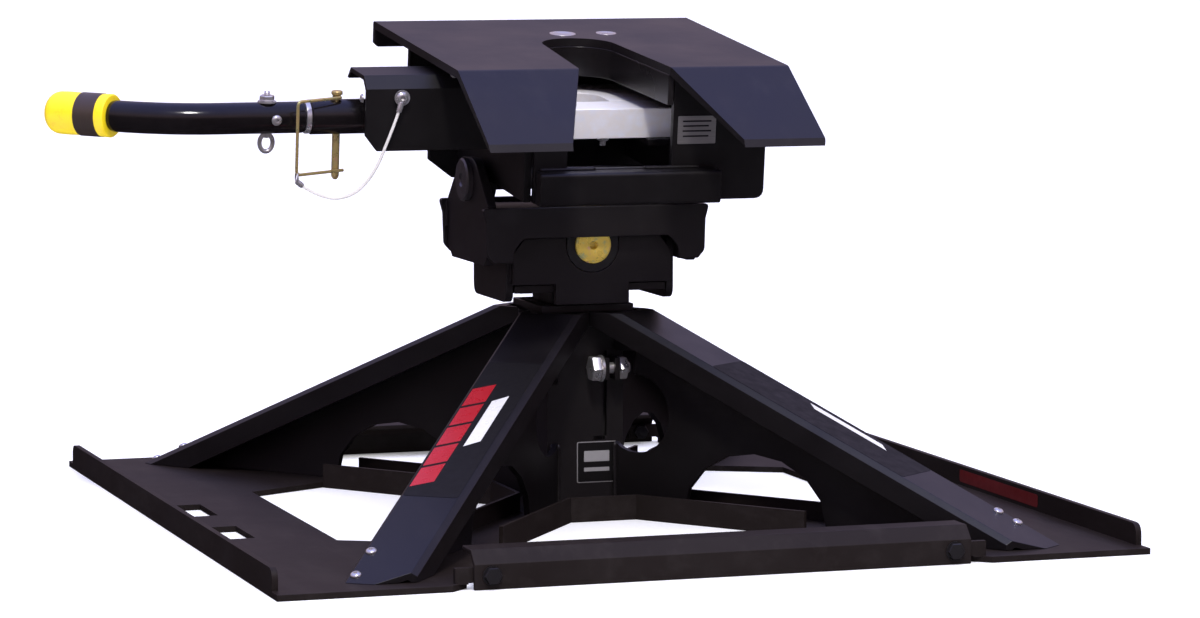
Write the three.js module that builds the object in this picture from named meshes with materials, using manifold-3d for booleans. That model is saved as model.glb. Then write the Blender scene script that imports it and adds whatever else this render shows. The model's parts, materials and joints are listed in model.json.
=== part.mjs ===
// A fifth wheel hitch that drops over a ball in a truck bed: a four-legged steel base with a square
// pedestal, a stool that slides in the pedestal, a saddle that rolls on the stool, a head that pitches
// in the saddle, and a slide bar that locks the trailer's kingpin in the head's throat.
// Millimetres. +X is the curb side, +Y is the front of the truck, +Z is up, and the base stands on z = 0.
import * as THREE from "three";
import { mergeVertices } from "three/addons/utils/BufferGeometryUtils.js";
import Module from "manifold-3d";

const wasm = await Module();
wasm.setup();

// ---------------------------------------------------------------- driving dimensions
const GAP = 0.3; // between pieces that are welded or bolted face to face
const pedestalX = 54.415; // the pedestal stands this far from the middle of the overall width

const base = {
  halfWidth: 430, halfLength: 466, plate: 6, sideWidth: 134, notchHalf: 172,
  lipHeight: 27, lipInset: 20, lipCorner: 12,
};
const railSlot = { inset: 48, halfWidth: 14, halfLength: 40, places: [-93, 62] };
const tab = { inner: 215, outer: 262, foot: 13, steel: 6, top: 20.5 };
const barBolt = { x: 228, z: 13, shank: 4, hole: 4.6, head: 8.5, headDepth: 5.5, nutDepth: 7 };
const leg = { run: 333, reach: 439, width: 66, flange: 26, steel: 5.5, topAt: 86, topHeight: 204 };
const strip = { halfWidth: 33, end: 300, rail: 20, railSteel: 4, flatY: 100, flatX: 75 };
const bar = { halfLength: 245, outer: 464, depth: 40, height: 36, steel: 4.5, bevel: 12.5 };
const web = { steel: 6, start: 54, toe: 505, archAt: 222, archHalf: 84, archHeight: 66 };
const webWindow = { radius: 40, at: 80, height: 103 };
const post = { half: 40.5, bore: 34.5, top: 214 };
const collar = { half: 53, bottom: 192, neck: 45, step: 8, rise: 14 };
const legCrest = 207;
const clamp = { y: -56, z: 149.5, shank: 6, head: 13.5, nut: 12.5, nutEnd: 38 };
const lug = { left: [13, 18], right: [24, 29], halfHeight: 11, halfDepth: 9 };
const coupler = { outer: 34, mouth: 31, ball: 30, centre: 28, bottom: 1, top: 66 };
const column = { half: 33, bore: 27, bottom: 70, top: 227.7 };
const stool = { halfX: 84, faceY: 65, plate: 8, neck: 39, neckTop: 237, bottom: 216, top: 284 };
const stoolDeck = { halfX: 80, bottom: 228, top: 236 };
const roll = { height: 276, pin: 18.5, pinReach: 69.5, bush: 27.6, hub: 27 };
const saddle = {
  sideX: 112, side: 9, faceY: 79, plate: 8, bottom: 257, plateTop: 316, plateBottom: 285, earBottom: 261,
};
const saddleDeck = { bottom: 304.4, top: 311 };
const pitch = { height: 340, shaft: 11, disc: 22, retainer: 18, tilt: THREE.MathUtils.degToRad(7) };
const head = {
  halfWidth: 171, top: 138, steel: 8, front: 159, bend: -151, rampRun: 109, rampDrop: 53,
  wallX: 96, wall: 8, wallBottom: 3, rear: -146, ear: 24, lipBottom: 112,
};
const frontPlate = { near: 92, far: 100 };
const skirt = { x: 153, reach: 60 };
const throat = { radius: 38, centre: -6, bendHalf: 47.5, mouthHalf: 87, wall: 6, wallDrop: 39 };
const jaw = { bottom: 53, top: 83, pocket: 27, pocketY: -2, rear: -27.5, front: 70 };
const guide = { inner: 52, near: -80, far: 66, steel: 6.7 };
const slide = { near: -73, far: -29, left: -90, right: 80 };
const box = { left: -242, near: -79, far: -5, bottom: 46, top: 120, steel: 5, bevel: 12, farCut: 24, guide: 24.5 };
const handle = { y: -42, z: 75, sleeve: 17.3, tube: 15.6, grip: 21.5, sleeveEnd: -290, tubeStart: -296 };
const handleBend = { start: -382, radius: 130, turn: THREE.MathUtils.degToRad(43), drop: 7 };
const grip = { length: 72, nose: 14 };
const eyebolt = { x: -333, shank: 3.1, hole: 3.6, eye: 7.6, wire: 2.3, nut: 7.5 };
const lanyardBolt = { x: -207, z: 100, head: 6.2, shank: 3 };
const lockPin = { x: -262, radius: 3.9, bottom: 12, top: 101 };
const bail = {
  reach: 53, top: 95, bottom: 22, wire: 1.6, aside: 7.6, turn: THREE.MathUtils.degToRad(22),
};
const cordRadius = 1.5;

// ---------------------------------------------------------------- finishes
const finish = (color, roughness, metalness) =>
  new THREE.MeshStandardMaterial({ color, roughness, metalness });
const blackCoat = () => finish(0x1b1a1d, 0.42, 0.35);
const blackSteel = () => finish(0x232226, 0.5, 0.45);
const zinc = () => finish(0xd4d6dc, 0.28, 0.95);
const yellowZinc = () => finish(0xb59a58, 0.35, 0.9);
const yellowBrass = () => finish(0xd0aa2c, 0.38, 0.8);
const yellowGrip = () => finish(0xf3c905, 0.5, 0);
const blackPlastic = () => finish(0x202022, 0.6, 0);
const coatedCable = () => finish(0xd9d5ca, 0.55, 0);

// ---------------------------------------------------------------- solids
function solid(geometry) {
  const bare = geometry.index ? geometry.toNonIndexed() : geometry.clone();
  bare.deleteAttribute("normal");
  bare.deleteAttribute("uv");
  const merged = mergeVertices(bare, 1e-3);
  const vertProperties = merged.getAttribute("position").array;
  const triVerts = new Uint32Array(merged.index.array);
  return new wasm.Manifold(new wasm.Mesh({ numProp: 3, vertProperties, triVerts }));
}

function geometryOf(body) {
  const mesh = body.getMesh();
  const geometry = new THREE.BufferGeometry();
  geometry.setAttribute("position", new THREE.BufferAttribute(mesh.vertProperties, 3));
  geometry.setIndex(new THREE.BufferAttribute(mesh.triVerts, 1));
  geometry.computeVertexNormals();
  return geometry;
}

const cut = (blank, ...tools) =>
  geometryOf(tools.reduce((body, tool) => body.subtract(solid(tool)), solid(blank)));
const join = (first, ...others) =>
  geometryOf(others.reduce((body, other) => body.add(solid(other)), solid(first)));

// ---------------------------------------------------------------- outlines and stock
// A closed outline. A third number on a point rounds that corner with a curve of about that radius.
function outline(points) {
  const shape = new THREE.Shape();
  const at = (i) => new THREE.Vector2(...points[(i + points.length) % points.length].slice(0, 2));
  points.forEach((point, i) => {
    const [corner, before, after] = [at(i), at(i - 1), at(i + 1)];
    const size = point[2] || 0;
    const enter = before.sub(corner).setLength(size).add(corner);
    const leave = after.sub(corner).setLength(size).add(corner);
    if (i === 0) shape.moveTo(enter.x, enter.y);
    else shape.lineTo(enter.x, enter.y);
    if (size) shape.quadraticCurveTo(corner.x, corner.y, leave.x, leave.y);
  });
  shape.closePath();
  return shape;
}

function circleHole(x, y, radius) {
  const path = new THREE.Path();
  path.absarc(x, y, radius, 0, 2 * Math.PI, true);
  return path;
}

function ringShape(outer, inner) {
  const shape = new THREE.Shape();
  shape.absarc(0, 0, outer, 0, 2 * Math.PI, false);
  shape.holes.push(circleHole(0, 0, inner));
  return shape;
}

function squareRing(outer, inner) {
  const square = (half) => [[-half, -half], [half, -half], [half, half], [-half, half]];
  const shape = outline(square(outer));
  shape.holes.push(new THREE.Path(square(inner).reverse().map(([x, y]) => new THREE.Vector2(x, y))));
  return shape;
}

const [axisX, axisY, axisZ] = [[1, 0, 0], [0, 1, 0], [0, 0, 1]].map((v) => new THREE.Vector3(...v));
const standing = new THREE.Matrix4().makeBasis(axisX, axisZ, axisY.clone().negate());
const endOn = new THREE.Matrix4().makeBasis(axisY, axisZ, axisX);

function extrude(shape, depth, curveSegments = 5) {
  return new THREE.ExtrudeGeometry(shape, { depth, curveSegments, bevelEnabled: false });
}

// Plates: lying is drawn in XY and rises from z, facing is drawn in XZ and goes back from y, and
// profile is drawn in YZ and runs along X from x.
const lying = (shape, z, depth, segments) => extrude(shape, depth, segments).translate(0, 0, z);
const facing = (shape, y, depth, segments) =>
  extrude(shape, depth, segments).applyMatrix4(standing).translate(0, y + depth, 0);
const profile = (shape, x, depth, segments) =>
  extrude(shape, depth, segments).applyMatrix4(endOn).translate(x, 0, 0);

function block(x0, x1, y0, y1, z0, z1) {
  const geometry = new THREE.BoxGeometry(x1 - x0, y1 - y0, z1 - z0);
  return geometry.translate((x0 + x1) / 2, (y0 + y1) / 2, (z0 + z1) / 2);
}

// Round or six-sided bars between two places on one axis.
function barZ(radius, x, y, z0, z1, sides = 16) {
  const geometry = new THREE.CylinderGeometry(radius, radius, z1 - z0, sides);
  return geometry.rotateX(Math.PI / 2).translate(x, y, (z0 + z1) / 2);
}
const barY = (radius, x, z, y0, y1, sides) =>
  barZ(radius, 0, 0, y0, y1, sides).rotateX(-Math.PI / 2).translate(x, 0, z);
const barX = (radius, y, z, x0, x1, sides) =>
  barZ(radius, 0, 0, x0, x1, sides).rotateY(Math.PI / 2).translate(0, y, z);

const hitch = new THREE.Group();
hitch.position.x = pedestalX;
const headGroup = new THREE.Group();
headGroup.position.z = pitch.height;
headGroup.rotation.x = pitch.tilt;
hitch.add(headGroup);

function place(group, name, material, geometry) {
  const mesh = new THREE.Mesh(geometry, material);
  mesh.name = name;
  group.add(mesh);
  return mesh;
}
const addBase = (name, material, geometry) => place(hitch, name, material, geometry);
const addHead = (name, material, geometry) => place(headGroup, name, material, geometry);

// ---------------------------------------------------------------- base: plates on the truck bed
const legLength = Math.hypot(leg.run, leg.reach);
const [cosLeg, sinLeg] = [leg.run / legLength, leg.reach / legLength];

// The upright tab that each end of a cross bar is bolted to. Its foot alone stands on the plate.
const tabFace = bar.outer - bar.steel - GAP;
const sorted = (a, b) => [Math.min(a, b), Math.max(a, b)];
function tabBlock(sideX, sideY, inner, z0, z1) {
  const across = sorted(sideX * inner, sideX * tab.outer);
  const through = sorted(sideY * tabFace, sideY * (tabFace - tab.steel));
  return block(...across, ...through, z0, z1);
}
const crossBarTab = (sideX, sideY) => tabBlock(sideX, sideY, tab.inner, base.plate + GAP, tab.top);
const tabFoot = (sideX, sideY) =>
  tabBlock(sideX, sideY, tab.outer - tab.foot, base.plate - 1, base.plate + 1);
const boltHoles = () =>
  [-1, 1].flatMap((end) => [-1, 1].map((side) =>
    barY(barBolt.hole, end * barBolt.x, barBolt.z, side * tabFace - 12, side * tabFace + 12, 12)));

// A point at distance t out along the right rear leg and w to its rear side, turned to any corner.
function alongLeg(t, w, sideX = 1, sideY = -1) {
  return [sideX * (cosLeg * t - sinLeg * w), -sideY * (-sinLeg * t - cosLeg * w)];
}

function footPlate(side) {
  const inner = base.halfWidth - base.sideWidth;
  const [end, half] = [strip.end, strip.halfWidth];
  const frontHalf = [
    [base.halfWidth, base.halfLength], [266, base.halfLength], [248, 450], [248, 418], [205, 355],
    alongLeg(end, half, 1, 1), alongLeg(end, -half, 1, 1), [inner, base.notchHalf],
  ];
  const rearHalf = frontHalf.map(([x, y]) => [x, -y]).reverse();
  const plate = outline([...frontHalf, ...rearHalf].map(([x, y]) => [side * x, y]));
  const slotX = side * (base.halfWidth - railSlot.inset);
  const { halfWidth: w, halfLength: l } = railSlot;
  for (const slotY of railSlot.places) {
    const slot = [[-w, -l], [w, -l], [w, l], [-w, l]];
    plate.holes.push(new THREE.Path(slot.map(([x, y]) => new THREE.Vector2(slotX + x, slotY + y))));
  }
  const lipEnd = base.halfLength - base.lipInset;
  const lip = outline([
    [-lipEnd, base.plate - 1], [lipEnd, base.plate - 1], [lipEnd, base.lipHeight, base.lipCorner],
    [-lipEnd, base.lipHeight, base.lipCorner],
  ]);
  const lipX = side > 0 ? base.halfWidth - base.plate : -base.halfWidth;
  const tabs = [-1, 1].flatMap((end) => [crossBarTab(side, end), tabFoot(side, end)]);
  return cut(join(lying(plate, 0, base.plate), profile(lip, lipX, base.plate), ...tabs), ...boltHoles());
}
addBase("foot_plate_left", blackCoat(), footPlate(-1));
addBase("foot_plate_right", blackCoat(), footPlate(1));

const corners = [["left_rear", -1, -1], ["right_rear", 1, -1], ["left_front", -1, 1], ["right_front", 1, 1]];

function spinePlate() {
  const end = strip.end - GAP;
  const arms = [-1, 1].map((side) =>
    outline([
      alongLeg(end, -strip.halfWidth, side, -1), alongLeg(end, strip.halfWidth, side, -1),
      alongLeg(end, -strip.halfWidth, -side, 1), alongLeg(end, strip.halfWidth, -side, 1),
    ]));
  const { flatX, flatY } = strip;
  const middle = [
    block(-34, 34, -flatY, flatY, 0, base.plate),
    block(-flatX, flatX, -44, 44, 0, base.plate),
  ];
  const cross = join(...arms.map((arm) => lying(arm, 0, base.plate)), ...middle);
  return cut(join(cross, ...spineRails()), barZ(coupler.outer + 2, 0, 0, -1, base.plate + 1, 24));
}

// Upright rails on the spine's four notches. Each runs in along one strip, across and out again.
function notchRail(forward) {
  const steel = strip.railSteel;
  const flat = forward ? strip.flatY : strip.flatX;
  const across = forward ? -1 : 1;
  const edge = (inset) => {
    const w = strip.halfWidth - inset;
    const reach = flat - inset;
    const t = forward ? (reach - cosLeg * w) / sinLeg : (reach - sinLeg * w) / cosLeg;
    return [alongLeg(strip.end - GAP, -across * w), alongLeg(t, -across * w)];
  };
  const mirror = ([x, y]) => (forward ? [-x, y] : [x, -y]);
  const [outer, inner] = [edge(0), edge(steel)];
  const far = [...outer.map(mirror).reverse(), ...inner.map(mirror)];
  return outline([...outer, ...far, ...inner.reverse()]);
}
function spineRails() {
  return [true, false].flatMap((forward) => {
    const rail = () => lying(notchRail(forward), base.plate - 1, strip.rail);
    return [rail(), rail().rotateZ(Math.PI)];
  });
}
addBase("spine_plate", blackCoat(), spinePlate());

// ---------------------------------------------------------------- base: cross bars and their fasteners
function crossBar(side) {
  const { outer, depth, height, steel, halfLength, bevel } = bar;
  const innerBevel = bevel + (Math.SQRT2 - 1) * steel;
  const section = [
    [outer, 0], [outer, height - bevel], [outer - bevel, height], [outer - depth, height],
    [outer - depth, height - steel], [outer - innerBevel, height - steel],
    [outer - steel, height - innerBevel], [outer - steel, 0],
  ];
  const stock = profile(outline(section.map(([y, z]) => [side * y, z])), -halfLength, 2 * halfLength);
  return cut(stock, ...boltHoles());
}
addBase("cross_bar_rear", blackCoat(), crossBar(-1));
addBase("cross_bar_front", blackCoat(), crossBar(1));

for (const [name, sideX, sideY] of corners) {
  const { x, z, shank, head, headDepth, nutDepth } = barBolt;
  const headEnd = barY(head, 0, z, bar.outer + GAP, bar.outer + GAP + headDepth, 6);
  const nutFace = tabFace - tab.steel - GAP;
  const nut = barY(head, 0, z, nutFace - nutDepth, nutFace, 6);
  const bolt = join(headEnd, barY(shank, 0, z, nutFace - nutDepth - 2, bar.outer + 1, 12), nut);
  if (sideY < 0) bolt.rotateZ(Math.PI);
  addBase(`bar_bolt_${name}`, zinc(), bolt.translate(sideX * x, 0, 0));
}

// ---------------------------------------------------------------- base: legs and webs
const legSlope = (leg.topHeight - base.plate) / (legLength - leg.topAt);
const legTop = (t) => base.plate + GAP + (legLength - t) * legSlope;
const heading = (sideX, sideY) => Math.atan2(sideY * leg.reach, sideX * leg.run);

// What the legs are trimmed by: the bed, the plane of the toes, the planes where neighbouring legs
// meet, the pedestal, its collar and a level cut across their crests.
function legTrims(sideX, sideY) {
  const far = 700;
  const beyondY = sideY > 0 ? [leg.reach, far] : [-far, -leg.reach];
  const mitreX = sideX > 0 ? [-far, GAP] : [-GAP, far];
  const mitreY = sideY > 0 ? [-far, GAP] : [-GAP, far];
  const post0 = post.half + GAP;
  const collar0 = collar.half + GAP;
  return [
    block(-far, far, -far, far, -far, base.plate + GAP),
    block(-far, far, ...beyondY, -far, far),
    block(...mitreX, -far, far, -far, far),
    block(-far, far, ...mitreY, -far, far),
    block(-post0, post0, -post0, post0, -far, far),
    block(-collar0, collar0, -collar0, collar0, collar.bottom - GAP, far),
    block(-far, far, -far, far, legCrest, far),
  ];
}

function legChannel(sideX, sideY) {
  const half = leg.width / 2;
  const inner = half - leg.steel;
  const section = outline([
    [-half, -leg.flange], [-half, -5], [-half + 5, 0], [half - 5, 0], [half, -5], [half, -leg.flange],
    [inner, -leg.flange], [inner, -leg.steel - 2], [inner - 2, -leg.steel],
    [-inner + 2, -leg.steel], [-inner, -leg.steel - 2], [-inner, -leg.flange],
  ]);
  const stock = profile(section, 0, 1.3 * legLength);
  const channel = stock.rotateY(Math.atan(legSlope)).translate(0, 0, legTop(0));
  return cut(channel.rotateZ(heading(sideX, sideY)), ...legTrims(sideX, sideY));
}

// The clamp bolt lies across the post's rear face, and the web beside it is cut back around it.
const boltRoom = 17;
const boltSpace = block(-5, clamp.nutEnd + 8, clamp.y - 15, -post.half, clamp.z - boltRoom,
  clamp.z + boltRoom);

function legWeb(sideX, sideY) {
  const { steel, start, toe, archAt, archHalf, archHeight } = web;
  const floor = base.plate + GAP;
  const ceiling = (t) => legTop(t) - leg.steel / Math.cos(Math.atan(legSlope)) - GAP;
  const arch = [];
  for (let i = 0; i <= 8; i += 1) {
    const turn = (Math.PI * i) / 8;
    arch.push([archAt - archHalf * Math.cos(turn), floor + archHeight * Math.sin(turn)]);
  }
  const shape = outline([
    [start, floor], ...arch, [toe, floor], [toe, ceiling(toe)], [start, ceiling(start)],
  ]);
  const plate = facing(shape, -steel / 2, steel);
  const window = barY(webWindow.radius, webWindow.at, webWindow.height, -steel, steel, 28);
  const turned = cut(plate, window).rotateZ(heading(sideX, sideY));
  return cut(turned, boltSpace, ...legTrims(sideX, sideY).slice(4));
}

for (const [name, sideX, sideY] of corners) {
  addBase(`leg_${name}`, blackCoat(), legChannel(sideX, sideY));
  addBase(`web_${name}`, blackCoat(), legWeb(sideX, sideY));
}

// ---------------------------------------------------------------- pedestal
function pedestalTube() {
  const foot = base.plate + GAP;
  const tube = lying(squareRing(post.half, post.bore), foot, post.top - foot);
  const [near, face] = [clamp.y - lug.halfDepth, -post.half];
  const lugs = [lug.left, lug.right].map(([x0, x1]) =>
    block(x0, x1, near, face + 1, clamp.z - lug.halfHeight, clamp.z + lug.halfHeight));
  const [slitLeft, slitRight, slitFoot] = [lug.left[1] + 1, lug.right[0] - 1, 78];
  const slit = block(slitLeft, slitRight, near - 1, -30, slitFoot, clamp.z + 15.5);
  const hook = block(slitLeft - 10, slitLeft + 2, face - 5, -30, slitFoot - 4, slitFoot + 0.5);
  const hole = barX(clamp.shank + 0.6, clamp.y, clamp.z, 0, 45, 16);
  return cut(join(tube, ...lugs), slit, hook, hole);
}
addBase("pedestal_tube", blackCoat(), pedestalTube());

function pedestalCollar() {
  const bore = post.half + GAP;
  const step = (half, z) => lying(squareRing(half, bore), z, collar.step);
  const neck = lying(squareRing(collar.neck, bore), collar.bottom + 4, collar.rise);
  const upper = step(collar.half - 4, collar.bottom + collar.rise);
  return join(step(collar.half, collar.bottom), upper, neck);
}
addBase("pedestal_collar", blackCoat(), pedestalCollar());

// The socket in the foot of the pedestal that drops over the ball in the truck bed.
function ballCoupler() {
  const { outer, mouth, ball, centre, bottom, top } = coupler;
  const points = [new THREE.Vector2(mouth, bottom)];
  for (let i = 0; i <= 8; i += 1) {
    const turn = (Math.PI / 2) * (i / 8);
    points.push(new THREE.Vector2(ball * Math.cos(turn), centre + ball * Math.sin(turn)));
  }
  points.push(new THREE.Vector2(0, top), new THREE.Vector2(outer, top), new THREE.Vector2(outer, bottom));
  points.push(points[0].clone());
  return new THREE.LatheGeometry(points.reverse(), 28).rotateX(Math.PI / 2);
}
addBase("ball_coupler", blackSteel(), ballCoupler());

function clampBolt() {
  const { y, z, shank, head: headRadius, nut: nutRadius, nutEnd } = clamp;
  const headEnd = barX(headRadius, y, z, 0, lug.left[0] - GAP, 6);
  const nut = barX(nutRadius, y, z, lug.right[1] + GAP, nutEnd, 6);
  return join(headEnd, barX(shank, y, z, lug.left[0] - 3, nutEnd + 4, 16), nut);
}
addBase("clamp_bolt", zinc(), clampBolt());

// ---------------------------------------------------------------- stool: rises and falls in the pedestal
addBase("column_tube", blackSteel(),
  lying(squareRing(column.half, column.bore), column.bottom, column.top - column.bottom));

const stoolInner = stool.faceY - stool.plate - GAP;
addBase("stool_base", blackCoat(),
  block(-stoolDeck.halfX, stoolDeck.halfX, -stoolInner, stoolInner, stoolDeck.bottom, stoolDeck.top));

function stoolPlate() {
  const { halfX, neck, neckTop, bottom, top } = stool;
  const notch = roll.bush + GAP;
  const shape = new THREE.Shape();
  shape.moveTo(-neck, bottom);
  shape.lineTo(neck, bottom);
  shape.lineTo(neck, neckTop);
  shape.lineTo(halfX, neckTop);
  shape.lineTo(halfX, top - 16);
  shape.lineTo(halfX - 12, top);
  shape.lineTo(notch, top);
  shape.lineTo(notch, roll.height);
  shape.absarc(0, roll.height, notch, 0, Math.PI, true);
  shape.lineTo(-notch, top);
  shape.lineTo(-halfX + 12, top);
  shape.lineTo(-halfX, top - 16);
  shape.lineTo(-halfX, neckTop);
  shape.lineTo(-neck, neckTop);
  return shape;
}
addBase("stool_plate_rear", blackCoat(), facing(stoolPlate(), -stool.faceY, stool.plate, 12));
addBase("stool_plate_front", blackCoat(), facing(stoolPlate(), stool.faceY - stool.plate, stool.plate, 12));

function stoolSide(x) {
  const [low, high] = [stool.bottom + 3, stool.top - 2];
  const shape = outline([
    [-stoolInner, low, 12], [stoolInner, low, 12], [stoolInner, high, 10], [-stoolInner, high, 10],
  ]);
  return profile(shape, x, stool.plate);
}
addBase("stool_side_left", blackCoat(), stoolSide(-stool.halfX - 5));
addBase("stool_side_right", blackCoat(), stoolSide(stool.halfX - 3));

const bushing = (y) => {
  const ring = ringShape(roll.bush, roll.pin + GAP);
  return facing(ring, y, stool.plate, 12).translate(0, 0, roll.height);
};
addBase("roll_bushing_rear", blackPlastic(), bushing(-stool.faceY));
addBase("roll_bushing_front", blackPlastic(), bushing(stool.faceY - stool.plate));
addBase("roll_pin", yellowBrass(), barY(roll.pin, 0, roll.height, -roll.pinReach, roll.pinReach, 28));

// ---------------------------------------------------------------- saddle: rolls on the roll pin
function saddleHub() {
  const reach = stoolInner - 0.7;
  const tube = facing(ringShape(roll.hub, roll.pin + 2 * GAP), -reach, 2 * reach, 14);
  return tube.translate(0, 0, roll.height);
}
addBase("saddle_hub", blackSteel(), saddleHub());

const saddleInner = saddle.sideX - saddle.side;
const saddleReach = saddle.faceY - saddle.plate - GAP;
addBase("saddle_deck", blackCoat(),
  block(-saddleInner + GAP, saddleInner - GAP, -saddleReach, saddleReach, saddleDeck.bottom, saddleDeck.top));

function saddleSide(x) {
  const reach = saddleReach;
  const [shoulder, top, ear] = [saddle.plateTop + 2, pitch.height + 23, head.ear];
  const { bottom } = saddle;
  const shape = outline([
    [-reach, bottom + 12], [-reach + 14, bottom], [reach - 14, bottom], [reach, bottom + 12],
    [reach, shoulder], [ear, top, 14], [-ear, top, 14], [-reach, shoulder],
  ]);
  shape.holes.push(circleHole(0, pitch.height, pitch.shaft + 0.5));
  return profile(shape, x, saddle.side, 8);
}
addBase("saddle_side_left", blackCoat(), saddleSide(-saddle.sideX));
addBase("saddle_side_right", blackCoat(), saddleSide(saddleInner));

// An arch over the stool: its two ends come down beside the stool's shoulders.
function saddlePlate() {
  const { plateTop, plateBottom, earBottom } = saddle;
  const right = [
    [77, plateBottom, 4], [87, plateBottom - 12, 6], [87, earBottom], [108, earBottom], [115, earBottom + 8, 3],
    [116, plateBottom + 16], [120, plateTop, 5],
  ];
  const left = right.map(([x, z, radius]) => (radius ? [-x, z, radius] : [-x, z])).reverse();
  return outline([...right, ...left]);
}
addBase("saddle_plate_rear", blackCoat(), facing(saddlePlate(), -saddle.faceY, saddle.plate));
addBase("saddle_plate_front", blackCoat(), facing(saddlePlate(), saddle.faceY - saddle.plate, saddle.plate));

function pitchShaft() {
  const reach = saddle.sideX + GAP;
  const shaft = barX(pitch.shaft, 0, pitch.height, -reach - 2, reach + 12, 24);
  const disc = barX(pitch.disc, 0, pitch.height, -reach - 7, -reach, 28);
  return join(disc, shaft);
}
addBase("pitch_shaft", zinc(), pitchShaft());

function pitchRetainer() {
  const ring = profile(ringShape(pitch.retainer, pitch.shaft + GAP), 0, 7, 8);
  return ring.translate(saddle.sideX + GAP, 0, pitch.height);
}
addBase("pitch_retainer", zinc(), pitchRetainer());

// ---------------------------------------------------------------- head: top plate and throat
const plateUnder = head.top - head.steel - GAP;
const rampEnd = head.bend - head.rampRun;

function throatShape(grow, mouthY) {
  const flare = (throat.bendHalf - throat.radius) / (throat.centre - head.bend);
  const half = throat.radius + flare * (throat.centre - mouthY) + grow;
  const shape = new THREE.Shape();
  shape.moveTo(half, mouthY);
  shape.lineTo(throat.radius + grow, throat.centre);
  shape.absarc(0, throat.centre, throat.radius + grow, 0, Math.PI, false);
  shape.lineTo(-half, mouthY);
  return shape;
}

// Corners cut off the front lip and off the ramps' outer ends.
const lipCorner = (side) => {
  const [out, low] = [side * (head.halfWidth + 9), head.lipBottom - 7];
  return facing(outline([[out, low], [side * 160, low], [out, head.lipBottom + 12]]), head.front - 20, 40);
};
const rampCorner = (side) => {
  const [out, end] = [side * (head.halfWidth + 9), rampEnd - 20];
  return lying(outline([[side * 160, end], [out, end], [out, rampEnd + 14]]), 0, 150);
};

function topPlate() {
  const { top, steel, front, bend, rampRun, rampDrop, halfWidth, lipBottom } = head;
  const fall = Math.atan(rampDrop / rampRun);
  const lean = steel * Math.tan(fall / 2);
  const end = [rampRun + steel * Math.sin(fall), rampDrop + steel * Math.cos(fall)];
  const section = outline([
    [front, top, 4], [bend, top, 3], [rampEnd, top - rampDrop], [bend - end[0], top - end[1]],
    [bend + lean, top - steel, 2], [front - steel, top - steel], [front - steel, lipBottom],
    [front, lipBottom],
  ]);
  const sheet = profile(section, -halfWidth, 2 * halfWidth, 3);
  const throatCut = lying(throatShape(0, bend), 0, 200, 14);
  const mouth = outline([
    [-throat.bendHalf, bend + 1], [-throat.mouthHalf, rampEnd], [-throat.mouthHalf - 2, rampEnd - 20],
    [throat.mouthHalf + 2, rampEnd - 20], [throat.mouthHalf, rampEnd], [throat.bendHalf, bend + 1],
  ]);
  const corners = [-1, 1].flatMap((side) => [lipCorner(side), rampCorner(side)]);
  return cut(sheet, throatCut, lying(mouth, 0, 200), ...corners);
}
addHead("top_plate", blackCoat(), topPlate());

function throatWall() {
  const bottom = head.top - throat.wallDrop;
  const skin = lying(throatShape(throat.wall, head.bend + 4), bottom, plateUnder - bottom, 14);
  return cut(skin, lying(throatShape(0, head.bend - 1), 0, 200, 14));
}
addHead("throat_wall", blackCoat(), throatWall());

// ---------------------------------------------------------------- head: box of plates below
const wallRear = head.rear + head.steel + GAP;
const wallFront = frontPlate.near - GAP;

function headWall(window) {
  const { wallBottom: low, ear } = head;
  const shape = new THREE.Shape();
  shape.moveTo(wallRear, low);
  shape.lineTo(-ear, low);
  shape.absarc(0, 0, ear, Math.PI, 2 * Math.PI, false);
  shape.lineTo(ear, low);
  shape.lineTo(wallFront, low);
  shape.lineTo(wallFront, plateUnder);
  shape.lineTo(wallRear, plateUnder);
  shape.holes.push(circleHole(0, 0, pitch.shaft + 0.5));
  if (window) {
    const frame = [[-76, 50], [-76, 95], [-22, 95], [-22, 50]];
    shape.holes.push(new THREE.Path(frame.map(([y, z]) => new THREE.Vector2(y, z))));
  }
  return shape;
}
addHead("head_wall_left", blackCoat(), profile(headWall(true), -head.wallX, head.wall, 10));
addHead("head_wall_right", blackCoat(), profile(headWall(false), head.wallX - head.wall, head.wall, 10));

// The rear plate is bent forward at its right end into the skirt on the curb side.
function headPlateRear() {
  const [open, floor, top] = [throat.bendHalf + throat.wall + 0.8, 37, plateUnder];
  const left = -head.wallX + head.wall;
  const plate = outline([
    [left, head.wallBottom], [skirt.x, head.wallBottom, 10], [skirt.x, top], [open, top],
    [open, floor], [-open, floor], [-open, top], [left, top],
  ]);
  const side = outline([
    [head.rear + 1, head.wallBottom + 12], [skirt.reach, 40, 10], [skirt.reach, top],
    [head.rear + 1, top],
  ]);
  return join(facing(plate, head.rear, head.steel), profile(side, skirt.x - 6, 6));
}
addHead("head_plate_rear", blackCoat(), headPlateRear());

function lowerCrossMember() {
  const [near, far, low, high] = [-165, head.rear - GAP, head.wallBottom, 36];
  return profile(outline([[near, low, 4], [near, high, 4], [far, high], [far, low]]), -87, 188);
}
addHead("lower_cross_member", blackCoat(), lowerCrossMember());

function headPlateFront() {
  const shape = outline([
    [-101, -16], [101, -16], [126, 3], [126, 70], [150, 100], [150, plateUnder],
    [-150, plateUnder], [-150, 100], [-126, 70], [-126, 3],
  ]);
  return facing(shape, frontPlate.near, frontPlate.far - frontPlate.near);
}
addHead("head_plate_front", blackCoat(), headPlateFront());

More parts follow.
